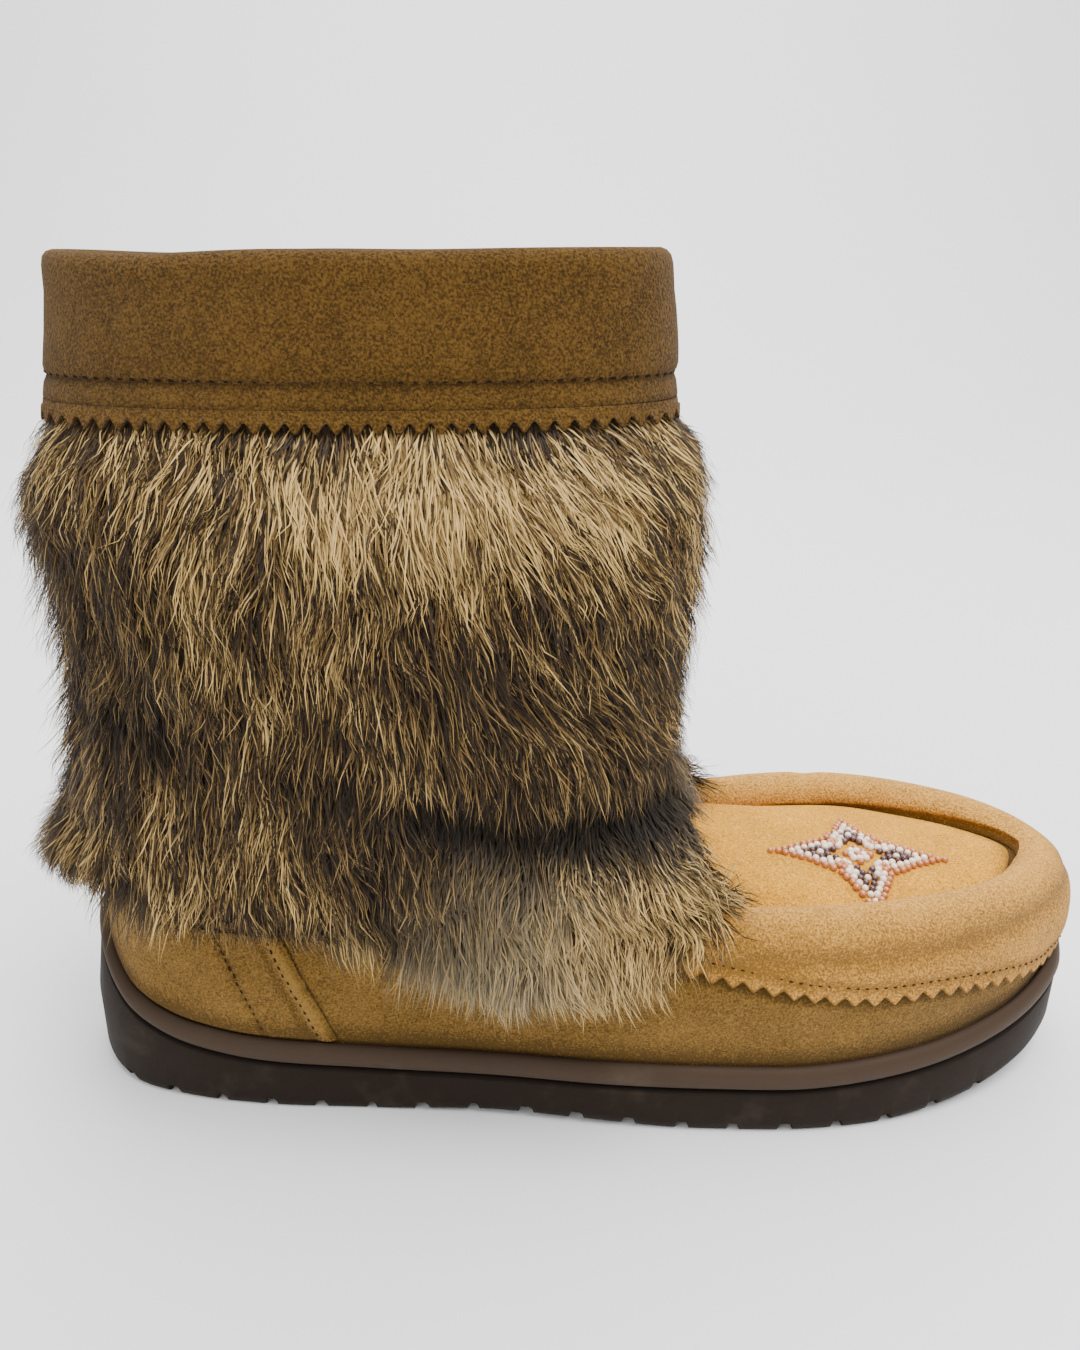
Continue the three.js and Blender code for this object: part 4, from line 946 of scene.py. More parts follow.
def capped(name, rings):
    """A small closed shape from rings, flat at both ends."""
    rings = np.array(rings)
    rows, columns = rings.shape[:2]
    faces = quads(rows, columns, True)[:, ::-1].tolist()
    faces += [list(range(columns)), list(range((rows - 1) * columns, rows * columns))[::-1]]
    return new_object(name, rings.reshape(-1, 3), faces, [], None, 80)


def stitch_shape():
    """One stitch: a short tapered pad, longer than it is wide, dipping at both ends."""
    rings = []
    for t in np.linspace(-1, 1, 7):
        size = math.sqrt(max(0.06, 1 - t * t * 0.9))
        rings.append([(t * 0.5, 0.21 * size * math.cos(a), 0.2 * size * math.sin(a) - 0.18 * t * t)
                      for a in np.arange(STITCH_RING) * 2 * math.pi / STITCH_RING])
    return capped("stitch_shape", rings)


def bead_shape():
    """One round bead with the flat ends of its hole."""
    return capped("bead_shape", [
        [(math.sin(b) * 0.92, math.cos(b) * math.cos(a), math.cos(b) * math.sin(a) * 0.95)
         for a in np.arange(BEAD_RING) * 2 * math.pi / BEAD_RING] for b in (-1.15, -0.6, 0.0, 0.6, 1.15)])


def length_along(places):
    """The length of a line of places, counted up from its start."""
    steps = np.linalg.norm(np.diff(places, axis=0), axis=1)
    return np.concatenate([[0], np.cumsum(steps)])


def stitch_line(places, ways, pitch, sink):
    """Points at even steps along a line of places, with the line's direction and the way out."""
    length = length_along(places)
    count = max(2, int(length[-1] / pitch))
    at = (np.arange(count) + 0.5) * length[-1] / count
    pick = lambda values: np.stack([np.interp(at, length, values[:, k]) for k in range(3)], -1)
    spots, out = pick(places), pick(ways)
    lie = pick(np.gradient(places, axis=0))
    return spots - out * sink, lie, out


def sew(name, lines, material, pitch, size, sink=0.0):
    """Stitches along lines, each a pair of places and ways out, as one mesh."""
    parts = [stitch_line(places, ways, pitch, sink) for places, ways in lines]
    spots, lie, stand = (np.concatenate(part) for part in zip(*parts))
    base = points_object("stitch_points", spots, lie, stand)
    shape = stitch_shape()
    made = setting_tree().run(name, base, {
        "Shape": shape, "Size": size, "Jitter": 0.1, "Seed": 5, "Material": material})
    remove(base, shape)
    return made


def laid(turn, ring, out):
    """Places on the form and the way outwards there."""
    places = form.at(turn, ring, out)
    return places, form.at(turn, ring, out + 1.0) - places


def teeth(places, pitch, rounding):
    """A zigzag from 0 to 1 along a line of places, with whole teeth from end to end."""
    length = length_along(places)
    count = max(2, round(length[-1] / pitch))
    wave = np.abs(2 * ((length * count / length[-1]) % 1) - 1)
    return smooth(wave, 0, 1) * (1 - rounding) + wave * rounding


# Sole and insole

SOLE_TURNS = 840
BED_TURNS = 420
LUGS_FROM, LUGS_TO = 0.04, 0.92  # the lugs' stretch along the sole
LUGS_BESIDE = 8.0  # no notch opens nearer than this to the sole's middle line
FOXING = 0.55  # how far the side wall lies inside the rand


class BOOT_OT_outsole(bpy.types.Operator):
    """Moulds the rubber cup sole with its rand, groove and lugs"""

    bl_idname = "boot.outsole"
    bl_label = "Sole"

    def execute(self, context):
        colours = settings("boot_colours")
        material = rubber("sole_rubber", colours.rubber, colours.rand)
        turn = np.arange(SOLE_TURNS) / SOLE_TURNS
        along = along_at(turn)
        ground, top = ground_at(along), rand_top_at(along)
        groove = top - BEAD_HEIGHT
        lift = self.notches(turn, along) * LUG_DEPTH
        # Inset, height, share of the rand's colour and share of painted shade
        rows = (
            (LUG_REACH + 0.6, ground, 0, 0), (LUG_REACH, ground + lift, 0, 0.3),
            (2.2, ground + lift, 0, 0.2), (1.5, ground + 0.5 + lift * 0.9, 0, 0),
            (0.8, ground + 2.0 + lift * 0.6, 0, 0), (FOXING, ground + 3.2, 0, 0),
            (FOXING, mix(ground + 2.2, groove, 0.5), 0, 0), (FOXING, groove - 1.6, 0, 0),
            (0.75, groove - 0.9, 0, 0), (1.5, groove - 0.35, 0.2, 0.8), (2.1, groove, 0.5, 1.0),
            (1.6, groove + 0.5, 1, 0.7), (0.8, groove + 1.1, 1, 0.1), (0.3, groove + 2.0, 1, 0),
            (0.0, groove + 3.4, 1, 0), (0.3, groove + 5.0, 1, 0), (0.9, groove + 6.1, 1, 0),
            (1.6, groove + 6.7, 1, 0), (2.3, top, 1, 0), (3.0, top - 0.1, 1, 0.4),
            (CUP_WALL, top - 0.6, 1, 0.9), (CUP_WALL, floor_at(along), 0, 1),
        )
        rings = [place_at(turn, np.full(SOLE_TURNS, float(row[0])), row[1]) for row in rows]
        sole = tub("outsole_rubber", rings, [material], 35)
        paint(sole, "rand", np.repeat([row[2] for row in rows], SOLE_TURNS))
        paint(sole, "worn", np.repeat([row[3] for row in rows], SOLE_TURNS))
        dress(sole, "sole_rubber", "outsole")
        return {"FINISHED"}

    def notches(self, turn, along):
        """Where a notch between two lugs opens on the sole's side."""
        x, y = np.moveaxis(outline(turn), -1, 0)
        nearest = np.abs((x + HEEL_CENTRE + LUG_PITCH / 2) % LUG_PITCH - LUG_PITCH / 2)
        return ((nearest < LUG_WIDTH / 2) & (along > LUGS_FROM) & (along < LUGS_TO)
                & (np.abs(y) > LUGS_BESIDE))


class BOOT_OT_insole(bpy.types.Operator):
    """Lays the fleece footbed"""

    bl_idname = "boot.insole"
    bl_label = "Insole"

    def execute(self, context):
        turn = np.arange(BED_TURNS) / BED_TURNS
        inset = CUP_WALL + 2 * CLEAR + WALL + 0.3
        floor = floor_at(along_at(turn)) + CLEAR
        top = INSOLE_THICKNESS
        rows = ((0.6, 0), (0, 0.8), (0, top - 1.2), (0.5, top - 0.3), (1.6, top))
        rings = [place_at(turn, np.full(BED_TURNS, inset + more), floor + up) for more, up in rows]
        bed = tub("insole_fleece", rings, [fleece("lining_fleece", settings("boot_colours").lining)])
        dress(bed, "lining", "insole")
        return {"FINISHED"}


# Upper and heel counter

SHELL_TURNS = 360
COUNTER_TURNS, COUNTER_ROWS = 220, 24
COUNTER_FROM = 1.06  # the counter's lowest ring
COUNTER_HEIGHT = 70.0
COUNTER_REACH, COUNTER_SLANT = 76.0, 0.4  # its front edge at the rand, and how far it leans back
ROUND = 620.0  # about how far it is round the sole, in millimetres
COUNTER_ROW_1, COUNTER_ROW_2 = 3.2, 15.5  # its rows of stitches, from its front edge


class BOOT_OT_upper(bpy.types.Operator):
    """Shapes the suede shell with its soft creases and fleece lining"""

    bl_idname = "boot.upper"
    bl_label = "Upper"

    def execute(self, context):
        colours = settings("boot_colours")
        turn = np.arange(SHELL_TURNS) / SHELL_TURNS
        rings_out = np.concatenate([[0.0], np.linspace(1, 7, 49), np.linspace(7.5, LAST_RING, 14)])
        rings_in = np.concatenate([
            np.arange(LAST_RING, 8, -1), np.arange(8, 4, -0.5), np.arange(4, -1, -1)])
        outer = [form.at(turn, ring) for ring in rings_out]
        for k, ring in enumerate(rings_out):
            if 1.2 < ring < 7:
                outer[k] = form.at(turn, ring, crease_at(outer[k]) * smooth(ring, 1.2, 2))
        inner = [form.at(turn, ring, -WALL) for ring in rings_in]
        inner[0][:, 2] = outer[-1][:, 2]
        inner[-1][:, 2] = outer[0][:, 2]
        kinds = [0] * (len(outer) - 1) + [1] * (len(inner) + 1)
        materials = [suede("foot_suede", colours.foot), fleece("shaft_fleece", colours.lining)]
        shell = hoop("upper_shell", [rim_dipped(ring) for ring in outer + inner], materials, kinds)
        hem = form.ring_at(turn, vamp_edge(turn)) - 0.02
        sewn = smooth(np.minimum(turn, 1 - turn), VAMP_START, VAMP_START + 0.01)
        # Painted shade where the upper meets the rand and under the roll's pinked edge
        paint_shading(shell, np.concatenate([
            (1 - smooth(ring, 1.0, 1.5)) + 0.9 * sewn * smooth(ring, hem - 0.16, hem)
            for ring in np.concatenate([rings_out, rings_in])]))
        dress(shell, "suede", "upper")
        return {"FINISHED"}


def counter_edge(side, ring):
    """The turn at which the heel counter's front edge crosses a ring."""
    turn = np.linspace(0.0, 0.4, 400)
    at = form.at(side * turn, ring)
    reach = COUNTER_REACH - COUNTER_SLANT * (at[:, 2] - RAND_HEIGHT)
    past = np.argmax(at[:, 0] + HEEL_CENTRE > reach)
    return side * turn[past]


class BOOT_OT_counter(bpy.types.Operator):
    """Sews on the heel counter with its turned front edges and two slanted rows of stitches"""

    bl_idname = "boot.counter"
    bl_label = "Heel counter"

    def execute(self, context):
        colours = settings("boot_colours")
        top = form.ring_at(np.array([0.0]), COUNTER_HEIGHT)[0]
        rings = np.linspace(COUNTER_FROM, top, COUNTER_ROWS)
        share = np.linspace(-1, 1, COUNTER_TURNS)
        share = np.sign(share) * (1 - (1 - np.abs(share)) ** 1.35)
        edges = np.array([[counter_edge(-1, r), counter_edge(1, r)] for r in rings])
        turn = np.where(share < 0, -share * edges[:, :1], share * edges[:, 1:])
        ring = np.broadcast_to(rings[:, None], turn.shape)
        gap = np.minimum(np.abs(turn - edges[:, :1]), np.abs(turn - edges[:, 1:])) * ROUND
        # The turned edge, the dip of each row of stitches and the hollow between them
        fold = 0.4 * ridge(gap, 1.9, 1.9) - 0.45 * ridge(gap, 4.6, 1.0)
        fold = fold - 0.4 * ridge(gap, COUNTER_ROW_2, 1.1) - 0.25 * ridge(gap, 10, 3.5)
        lift = 1.15 * np.sqrt(np.clip(gap / 1.2, 0.05, 1)) + fold * 0.8
        over = form.at(turn, ring, CLEAR + lift + crease_at(form.at(turn, ring)) * 0.8)
        under = coarse(form.at(turn, ring, CLEAR))
        panel = sheet("heel_counter_suede", over, under, [suede("counter_suede", colours.foot)])
        # Painted shade along the bottom, in the hollow beside the turned edge and in the dip of the
        # second row of stitches; a painted highlight on the turned edge
        worn = (1 - smooth(ring, COUNTER_FROM, 1.5)) + 0.5 * ridge(gap, 5.2, 1.2)
        worn = worn + 0.4 * ridge(gap, COUNTER_ROW_2, 1.2)
        paint_shading(panel, over_only(worn), over_only(1.1 * ridge(gap, 2.2, 2.0)))
        dress(panel, "suede", "heel_counter")
        at = np.linspace(rings[0] + 0.06, rings[-1] - 0.1, 40)
        lines = []
        for k, side in ((0, -1), (1, 1)):
            for inset, lift in ((COUNTER_ROW_1, 1.42), (COUNTER_ROW_2, 0.95)):
                edge = np.interp(at, rings, edges[:, k]) - side * inset / ROUND
                lines.append(laid(edge, at, CLEAR + lift))
        threads = sew("counter_stitches", lines, thread("counter_thread", colours.thread), 2.4, 1.5, 0.1)
        dress(threads, "suede")
        return {"FINISHED"}


# Toe roll and apron

ROLL_TURNS, ROLL_ROWS = 1000, 27
APRON_TURNS = 220
FLANGE_LIFTS = (0.0, 0.35, 0.9, 1.8, 3.0, 4.4)  # rows of the flange, up from its pinked edge
ROLL_STITCH_LIFT = 5.2  # the row of stitches, up from the pinked edge
PUCKERS = 46  # puckers round a whole turn, where the roll is drawn in to its seam


def vamp_edge(turn):
    """The height of the roll's pinked edge: at the side, at the toe and where it rises behind."""
    along = along_at(turn)
    toe, rear = smooth(along, 0.8, 1.0), 1 - smooth(along, 0.5, 0.78)
    return mix(mix(39.5, 34.0, toe), 51.0, rear)


def near_share(turn):
    """How far the outer side's roll is drawn narrower than the inner side's."""
    return smooth(turn, 0.46, 0.4)


def seam_at(turn):
    """The ring of the seam between the roll and the apron."""
    return SEAM_RING - 0.5 * near_share(turn)


def roll_share(turn):
    """How far the roll has swelled up from its ends beside the instep."""
    return smooth(np.minimum(turn, 1 - turn), VAMP_START, VAMP_START + 0.035)


class BOOT_OT_vamp(bpy.types.Operator):
    """Sews on the padded toe roll with its pinked edge and its row of stitches"""

    bl_idname = "boot.vamp"
    bl_label = "Toe roll"

    def execute(self, context):
        colours, sewing = settings("boot_colours"), settings("boot_sewing")
        turn = np.linspace(VAMP_START, 1 - VAMP_START, ROLL_TURNS)
        ring = self.rings(turn, sewing)
        seam_row = form.ring_at(turn, vamp_edge(turn) + ROLL_STITCH_LIFT)
        thick = self.thickness(turn, ring, seam_row)
        over = form.at(turn[None, :], ring, CLEAR + np.maximum(thick, 0.5))
        under = coarse(form.at(turn[None, :], ring, CLEAR * 0.9))
        roll = sheet("vamp_roll", over, under, [suede("roll_suede", colours.roll, 1.1)], 50)
        share = roll_share(turn)
        # Painted shade in the seam to the apron, in the dip of the stitches, in the groove under the
        # padding and on the pinked edge; a painted highlight on the crest
        worn = (0.95 - 0.35 * near_share(turn)) * ridge(ring, seam_at(turn) + 0.05, 0.25)
        worn = worn + 0.6 * ridge(ring, seam_row, 0.16) + 0.6 * ridge(ring, 3.55, 0.42) * share
        worn[:2] += 0.9
        paint_shading(roll, layers(worn, worn), over_only(0.55 * ridge(ring, 4.9, 0.5) * share))
        dress(roll, "pale_suede", "vamp")
        out = np.array([np.interp(seam_row[k], ring[:, k], thick[:, k]) for k in range(len(turn))])
        inside = slice(20, -20)
        lines = [laid(turn[inside], seam_row[inside], CLEAR + out[inside] + 0.02)]
        threads = sew("vamp_stitches", lines, thread("vamp_thread", colours.thread), sewing.pitch, 1.35)
        dress(threads, "pale_suede")
        return {"FINISHED"}

    def rings(self, turn, sewing):
        """The rings of the roll's rows, from the pinked edge over the crest to the seam."""
        edge = vamp_edge(turn)
        tooth = teeth(form.at(turn, form.ring_at(turn, edge)), sewing.pink_pitch, 0.6)
        rows = []
        for lift in FLANGE_LIFTS:
            keep = 1 - smooth(lift, 0.6, 3.2)
            rows.append(form.ring_at(turn, edge + lift + sewing.pink_depth * tooth * keep))
        start = rows[-1]
        stop = mix(CREST_RING, seam_at(turn) + 0.05, roll_share(turn))
        for step in np.linspace(0, 1, ROLL_ROWS)[1:]:
            rows.append(mix(start, np.maximum(stop, start + 0.1), step))
        return np.array(rows)

    def thickness(self, turn, ring, seam_row):
        """How far the roll's face stands off the upper: padding, puckers, trough and creases."""
        share, near = roll_share(turn), near_share(turn)
        flat = form.at(turn[None, :], ring)
        crest = CREST_RING - 0.15
        reach = np.where(ring < crest, 1.45, seam_at(turn) - CREST_RING + 0.25)
        pad = np.clip(1 - (np.abs(ring - CREST_RING + 0.15) / reach) ** 2.2, 0, 1)
        pucker = 0.28 * np.sin(turn * 2 * np.pi * PUCKERS + 2 * np.sin(turn * 40))
        pucker = pucker * smooth(ring, 5.3, 5.9) * share
        swell = ROLL_SWELL * (1 - 1.1 * ridge(turn, 0.5, 0.085) * (1 - smooth(ring, 5.0, 5.7)))
        swell = swell * (1 - 0.4 * near * smooth(ring, 4.8, 5.4))
        thick = SUEDE + swell * pad * share + crease_at(flat) * 1.1 + pucker * 0.6
        thick = thick + 0.25 * noise_at(flat, 42, 4) * smooth(ring, 3, 4)
        thick = thick - 0.3 * ridge(ring, seam_row, 0.16) - 0.75 * ridge(ring, 3.5, 0.3) * share
        for row, thinned in ((0, 0.45), (1, 0.85), (-1, 0.75)):
            thick[row] *= thinned
        return thick


class BOOT_OT_apron(bpy.types.Operator):
    """Domes the apron inside the roll"""

    bl_idname = "boot.apron"
    bl_label = "Apron"

    def execute(self, context):
        turn = np.linspace(APRON_START, 1 - APRON_START, APRON_TURNS)
        side = smooth(np.minimum(turn, 1 - turn), APRON_START, APRON_START + 0.07)
        steps = np.concatenate([[0.25, 0.3, 0.4], np.linspace(0.55, 4.7, 30)])[:, None]
        ring = SEAM_RING + steps * mix(0.45, 1.0, side)[None, :]
        ring = ring - 0.5 * near_share(turn) * np.clip((4.7 - steps) / 4.45, 0, 1)
        thick = SUEDE + 0.3 * noise_at(form.at(turn[None, :], ring), 38, 9)
        thick[0] = 0.2
        thick[1] *= 0.6
        thick[2] *= 0.85
        over = form.at(turn[None, :], ring, CLEAR + thick)
        for _ in range(12):
            over[:, 1:-1] = over[:, 1:-1] * 0.5 + (over[:, :-2] + over[:, 2:]) * 0.25
        under = coarse(form.at(turn[None, :], ring, CLEAR * 0.9))
        material = suede("apron_suede", settings("boot_colours").apron, 0.85, 0.8)
        plug = sheet("apron_suede", over, under, [material])
        # Painted shade along the seam to the roll
        paint_shading(plug, over_only(0.8 * ridge(ring, seam_at(turn) + 0.2, 0.3)))
        dress(plug, "pale_suede", "apron")
        return {"FINISHED"}


# Bead star

# The star's arm from its tip to its foot: c copper, p pearl, d plum, . no bead
LONG_ARM = ("c", "c", "cc", "cpc", "cppc", "cpdpc", "cpddpc", "cpdpdpc", "cppddppc", ".cpd.dpc.",
            ".cp...pc.")
SHORT_ARM = ("c", "cc", "cpc", "cppc", "cpdpc", "cpdpdpc", "cppddppc", ".cpd.dpc.", ".cp...pc.")
# Each arm's chart and how far its tip lies from the star's middle, from the toe's arm round
ARMS = ((LONG_ARM, 24.6), (SHORT_ARM, 18.6), (LONG_ARM, 24.6), (LONG_ARM, 23.6))
# The heart's beads: steps along and across, and tint
HEART = ((0, 0, 1), (1, 0, 0), (-1, 0, 0), (0, 1, 0), (0, -1, 0), (2, 0, 1), (-2, 0, 1), (0, 2, 1),
         (0, -2, 1), (1, 1, 1), (-1, -1, 0), (1, -1, 0), (-1, 1, 0))
TINTS = {"p": 0, "c": 1, "d": 2}
HEART_REACH = 5.2
CHART_PITCH = 1.9  # the bead width that the arms' lengths are charted for
BEAD_SEAT = 0.62  # how far a bead's middle stands off the suede


class BOOT_OT_beads(bpy.types.Operator):
    """Sews on the four-point star, bead by bead from its chart"""

    bl_idname = "boot.beads"
    bl_label = "Bead star"

    def execute(self, context):
        colours, pitch = settings("boot_colours"), settings("boot_sewing").bead
        spots, tints = self.chart(pitch)
        spots = np.array(spots) + np.array(STAR_CENTRE)
        spots += np.random.default_rng(7).normal(0, 0.12, spots.shape)
        places, ways = self.seated(spots)
        lie = np.tile([1.0, 0.15, 0.0], (len(places), 1))
        base = points_object("bead_points", places, lie, ways, tint=tints)
        shape = bead_shape()
        star = setting_tree().run("bead_star_beads", base, {
            "Shape": shape, "Size": pitch * 0.54, "Jitter": 0.09, "Seed": 2,
            "Material": glass_beads("seed_beads", colours.pearl, colours.copper, colours.plum)})
        remove(base, shape)
        dress(star, "beads", "bead_star")
        return {"FINISHED"}

    def chart(self, pitch):
        """Where each bead lies from the star's middle, and its tint."""
        spots, tints = [], []
        for arm, (chart, tip) in enumerate(ARMS):
            out = np.array([math.cos(arm * math.pi / 2), math.sin(arm * math.pi / 2)])
            across = np.array([-out[1], out[0]])
            for k, row in enumerate(chart):
                away = tip - k * pitch * (tip - HEART_REACH) / (len(chart) - 1) / CHART_PITCH
                for j, letter in enumerate(row):
                    if letter in TINTS:
                        spots.append(out * away + across * (j - (len(row) - 1) / 2) * pitch)
                        tints.append(TINTS[letter])
        for x, y, tint in HEART:
            spots.append(np.array([x, y]) * pitch * 0.9)
            tints.append(tint)
        return spots, tints

    def seated(self, spots):
        """Each bead dropped on the apron or the roll, with the way outwards there."""
        graph = bpy.context.evaluated_depsgraph_get()
        below = [bpy.data.objects[name] for name in ("apron_suede", "vamp_roll")]
        places, ways = [], []
        for x, y in spots:
            start = Vector((x * MM, y * MM, 0.1))
            hits = [thing.ray_cast(start, Vector((0, 0, -1)), depsgraph=graph) for thing in below]
            hits = [hit for hit in hits if hit[0]]
            if not hits:
                raise RuntimeError("a bead of the star misses the apron")
            _, place, way, _ = max(hits, key=lambda hit: hit[1].z)
            places.append(np.array(place) / MM + np.array(way) * BEAD_SEAT)
            ways.append(way)
        return places, ways


# Cuff and its strip

CUFF_TURNS, BAND_TURNS = 380, 1100
CUFF_OUT, CUFF_BACKING = 4.8, 2.0  # how far the cuff's face and its back stand off the upper
CUFF_STITCH = 192.9  # height of the cuff's row of stitches
BAND_EDGE = 182.0  # height of the strip's pinked edge
BAND_PITCH, BAND_TOOTH = 4.4, 2.4
# The cuff's cross-section from its hem up, over the rim and down inside: out from the upper, height
CUFF_SECTION = (
    (2.9, 188.0), (3.2, 187.6), (4.1, 187.6), (4.35, 188.0), (4.3, 189.4), (4.15, 191.2),
    (3.6, CUFF_STITCH), (4.3, 193.8), (4.7, 195), (CUFF_OUT, 198), (CUFF_OUT, 202), (CUFF_OUT, 207),
    (CUFF_OUT - 0.1, 211), (CUFF_OUT + 0.15, 214.5), (CUFF_OUT + 0.25, 216.6),
    (CUFF_OUT - 0.2, 218.4), (CUFF_OUT - 1.2, 219.5), (CUFF_OUT - 2.6, 220.0), (1.0, 219.9),
    (-0.6, 219.5), (-2.3, 218.7), (-3.7, 216.8), (-4.5, 213), (-4.6, 209), (-4.4, 206.6),
    (-3.6, 206.1), (-2.8, 206.4), (-2.75, 212), (-2.72, 217.0), (-1.2, 217.3),
    (CUFF_BACKING - 0.2, 217.3), (CUFF_BACKING, 214), (CUFF_BACKING, 204), (CUFF_BACKING, 191),
)
# The strip's cross-section: up from its pinked edge, out from the upper, share of painted shade
BAND_SECTION = (
    (0.0, 4.3, 0.9), (0.2, 4.75, 0.35), (0.9, 4.8, 0.1), (1.8, 4.6, 0), (3.4, 4.4, 0), (4.9, 4.25, 0.1),
    (5.3, 3.6, 0.5), (6.0, 2.4, 1), (7.4, 1.6, 1), (13.0, 1.5, 1), (13.0, 0.6, 1), (7.4, 0.6, 1),
    (5.2, 1.5, 1), (4.0, 3.1, 0.8), (1.8, 3.5, 0.8), (0.9, 3.7, 0.8), (0.2, 3.8, 0.9),
)


def cuff_ring(turn, out, height):
    ring = form.ring_at(turn, min(height, RIM_HEIGHT), SEAM_RING)
    places = form.at(turn, ring, out)
    places[:, 2] = height
    return rim_dipped(places)


class BOOT_OT_cuff(bpy.types.Operator):
    """Folds the suede cuff over the rim, with its rolled lip and its pinked strip"""

    bl_idname = "boot.cuff"
    bl_label = "Cuff"

    def execute(self, context):
        colours = settings("boot_colours")
        self.fold(colours)
        turn = np.arange(481) / 480
        line = laid(turn, form.ring_at(turn, CUFF_STITCH, SEAM_RING), 3.75)
        material = thread("cuff_thread", darker(colours.thread, 0.45))
        dress(sew("cuff_stitches", [line], material, 3.1, 2.0), "cuff_suede")
        self.band(colours)
        return {"FINISHED"}

    def fold(self, colours):
        turn = np.arange(CUFF_TURNS) / CUFF_TURNS
        outwards = (form.at(turn, 14.5, 1.0) - form.at(turn, 14.5))[:, :2]
        rings = []
        for out, height in CUFF_SECTION:
            ring = cuff_ring(turn, out, height)
            if out > CUFF_BACKING + 0.1:
                slack = 0.55 * noise_at(ring, 46, 21) * smooth(height, 188, 196)
                ring[:, :2] += outwards * slack[:, None]
            rings.append(ring)
        cuff = hoop("cuff_suede", rings, [suede("cuff_nap", colours.cuff, 1.35, 1.2)])
        heights = np.array([height for _, height in CUFF_SECTION])
        # Painted shade in the dip of the stitches and under the hem; painted highlights on the rolled lip
        # and on the bulge above the hem
        worn = 0.55 * ridge(heights, CUFF_STITCH, 0.6) + 0.1 * (heights < 188.1)
        lit = 0.25 * ridge(heights, 218.5, 1.6) + 0.2 * ridge(heights, 189.3, 0.8)
        paint_shading(cuff, np.repeat(worn, CUFF_TURNS), np.repeat(lit, CUFF_TURNS))
        dress(cuff, "cuff_suede", "cuff")

    def band(self, colours):
        turn = np.arange(BAND_TURNS) / BAND_TURNS
        line = form.at(turn, form.ring_at(turn, BAND_EDGE, SEAM_RING))
        tooth = teeth(np.concatenate([line, line[:1]]), BAND_PITCH, 0.4)[:-1]
        rows = []
        for lift, out, _ in BAND_SECTION:
            keep = 1 - smooth(lift, 0.8, 3.4)
            ring = form.ring_at(turn, BAND_EDGE + lift + BAND_TOOTH * tooth * keep, SEAM_RING)
            rows.append(form.at(turn, ring, out))
        material = suede("band_nap", darker(colours.cuff, 1.15), 1.35)
        band = hoop("cuff_band_suede", rows, [material], None, 50)
        # Painted shade on the pinked edge and under the strip
        paint_shading(band, np.repeat([row[2] for row in BAND_SECTION], BAND_TURNS))
        dress(band, "cuff_suede", "cuff_band")


# Fur

PELT_TURNS, PELT_ROWS = 300, 64
PELT_TOP = 184.0
HEM_FALL = 8.0  # how far the hairs hang past the pelt
HALF_WAY = 118.0  # the height at which the upper hairs give way to the lower ones
FUR_LOOK = {
    "root": (0.016, 0.009, 0.004), "dark": (0.022, 0.012, 0.005), "brown": (0.125, 0.069, 0.018),
    "cream": (0.6, 0.4, 0.145), "grey": (0.34, 0.275, 0.17), "tip": (0.56, 0.37, 0.135),
}
# Tone of the fur charted from the side: place along and up, reach along and up, and how
# much paler (to 1) or darker (to -1)
# The darker spots that lie over the pelt's folds (FOLDS) are painted shade; the other spots are the fur's
# own colour
FUR_TONE_AND_FOLD_SHADE = (
    (62, 173, 30, 12, 0.75), (98, 177, 22, 8, 0.65), (44, 150, 10, 20, 0.28), (120, 162, 18, 20, 0.25),
    (4, 178, 16, 8, 0.4), (-22, 176, 16, 10, 0.15), (134, 176, 14, 12, -0.05),
    (-14, 140, 16, 20, -0.3), (-18, 106, 18, 18, -0.05), (64, 132, 44, 16, -0.12),
    (100, 128, 30, 14, -0.1), (30, 112, 28, 12, -0.06), (70, 100, 26, 12, -0.42),
    (94, 94, 26, 12, -0.7), (122, 98, 16, 16, -0.3), (10, 84, 26, 12, 0.16), (-16, 74, 18, 12, -0.15),
    (36, 72, 22, 6, -0.42), (74, 78, 14, 16, -0.25), (60, 60, 24, 10, 0.15), (100, 62, 20, 18, 0.62),
    (116, 60, 18, 16, 0.75), (88, 50, 18, 10, 0.1), (6, 64, 30, 8, 0.3), (104, 104, 14, 8, -0.2),
    (136, 84, 12, 12, -0.2), (128, 120, 14, 20, 0.1),
)
# Where the fur is grey, charted in the same way
GREYS = ((84, 62, 22, 22, 1.0), (50, 58, 26, 8, 0.5), (126, 90, 14, 14, 0.4), (-18, 66, 16, 12, 0.3))
# Folds of the pelt from the side: start, end, width and depth
FOLDS = (
    (36, 116, 76, 100, 7.0, 2.6), (66, 101, 120, 91, 9.0, 5.0), (118, 92, 136, 82, 6.0, 2.2),
    (46, 96, 52, 62, 6.0, 2.6), (14, 72, 46, 71, 4.0, 2.6), (-24, 132, 2, 118, 9.0, 2.2),
    (100, 150, 128, 128, 7.0, 1.4), (20, 92, 48, 84, 6.0, 1.2),
)


def fur_depth(turn, height):
    """The fur's depth, eased between the table's four sides."""
    quarter = (4 * turn) % 4
    near = np.floor(quarter).astype(int)
    share = smooth(quarter % 1, 0, 1)
    sides = np.array([table(FUR_DEPTHS, 1 + k, height / FUR_TOP) for k in range(4)])
    pick = lambda k: np.take_along_axis(sides, (k % 4)[None], 0)[0]
    return FUR_DEPTH * mix(pick(near), pick(near + 1), share)


def fur_gap(turn, ring):
    """How far the back of the pelt stands off the upper."""
    heel = 1 - smooth(along_at(turn), 0, 0.2)
    return 0.6 + SUEDE + 2.2 * heel * (1 - smooth(ring, 2, 4))


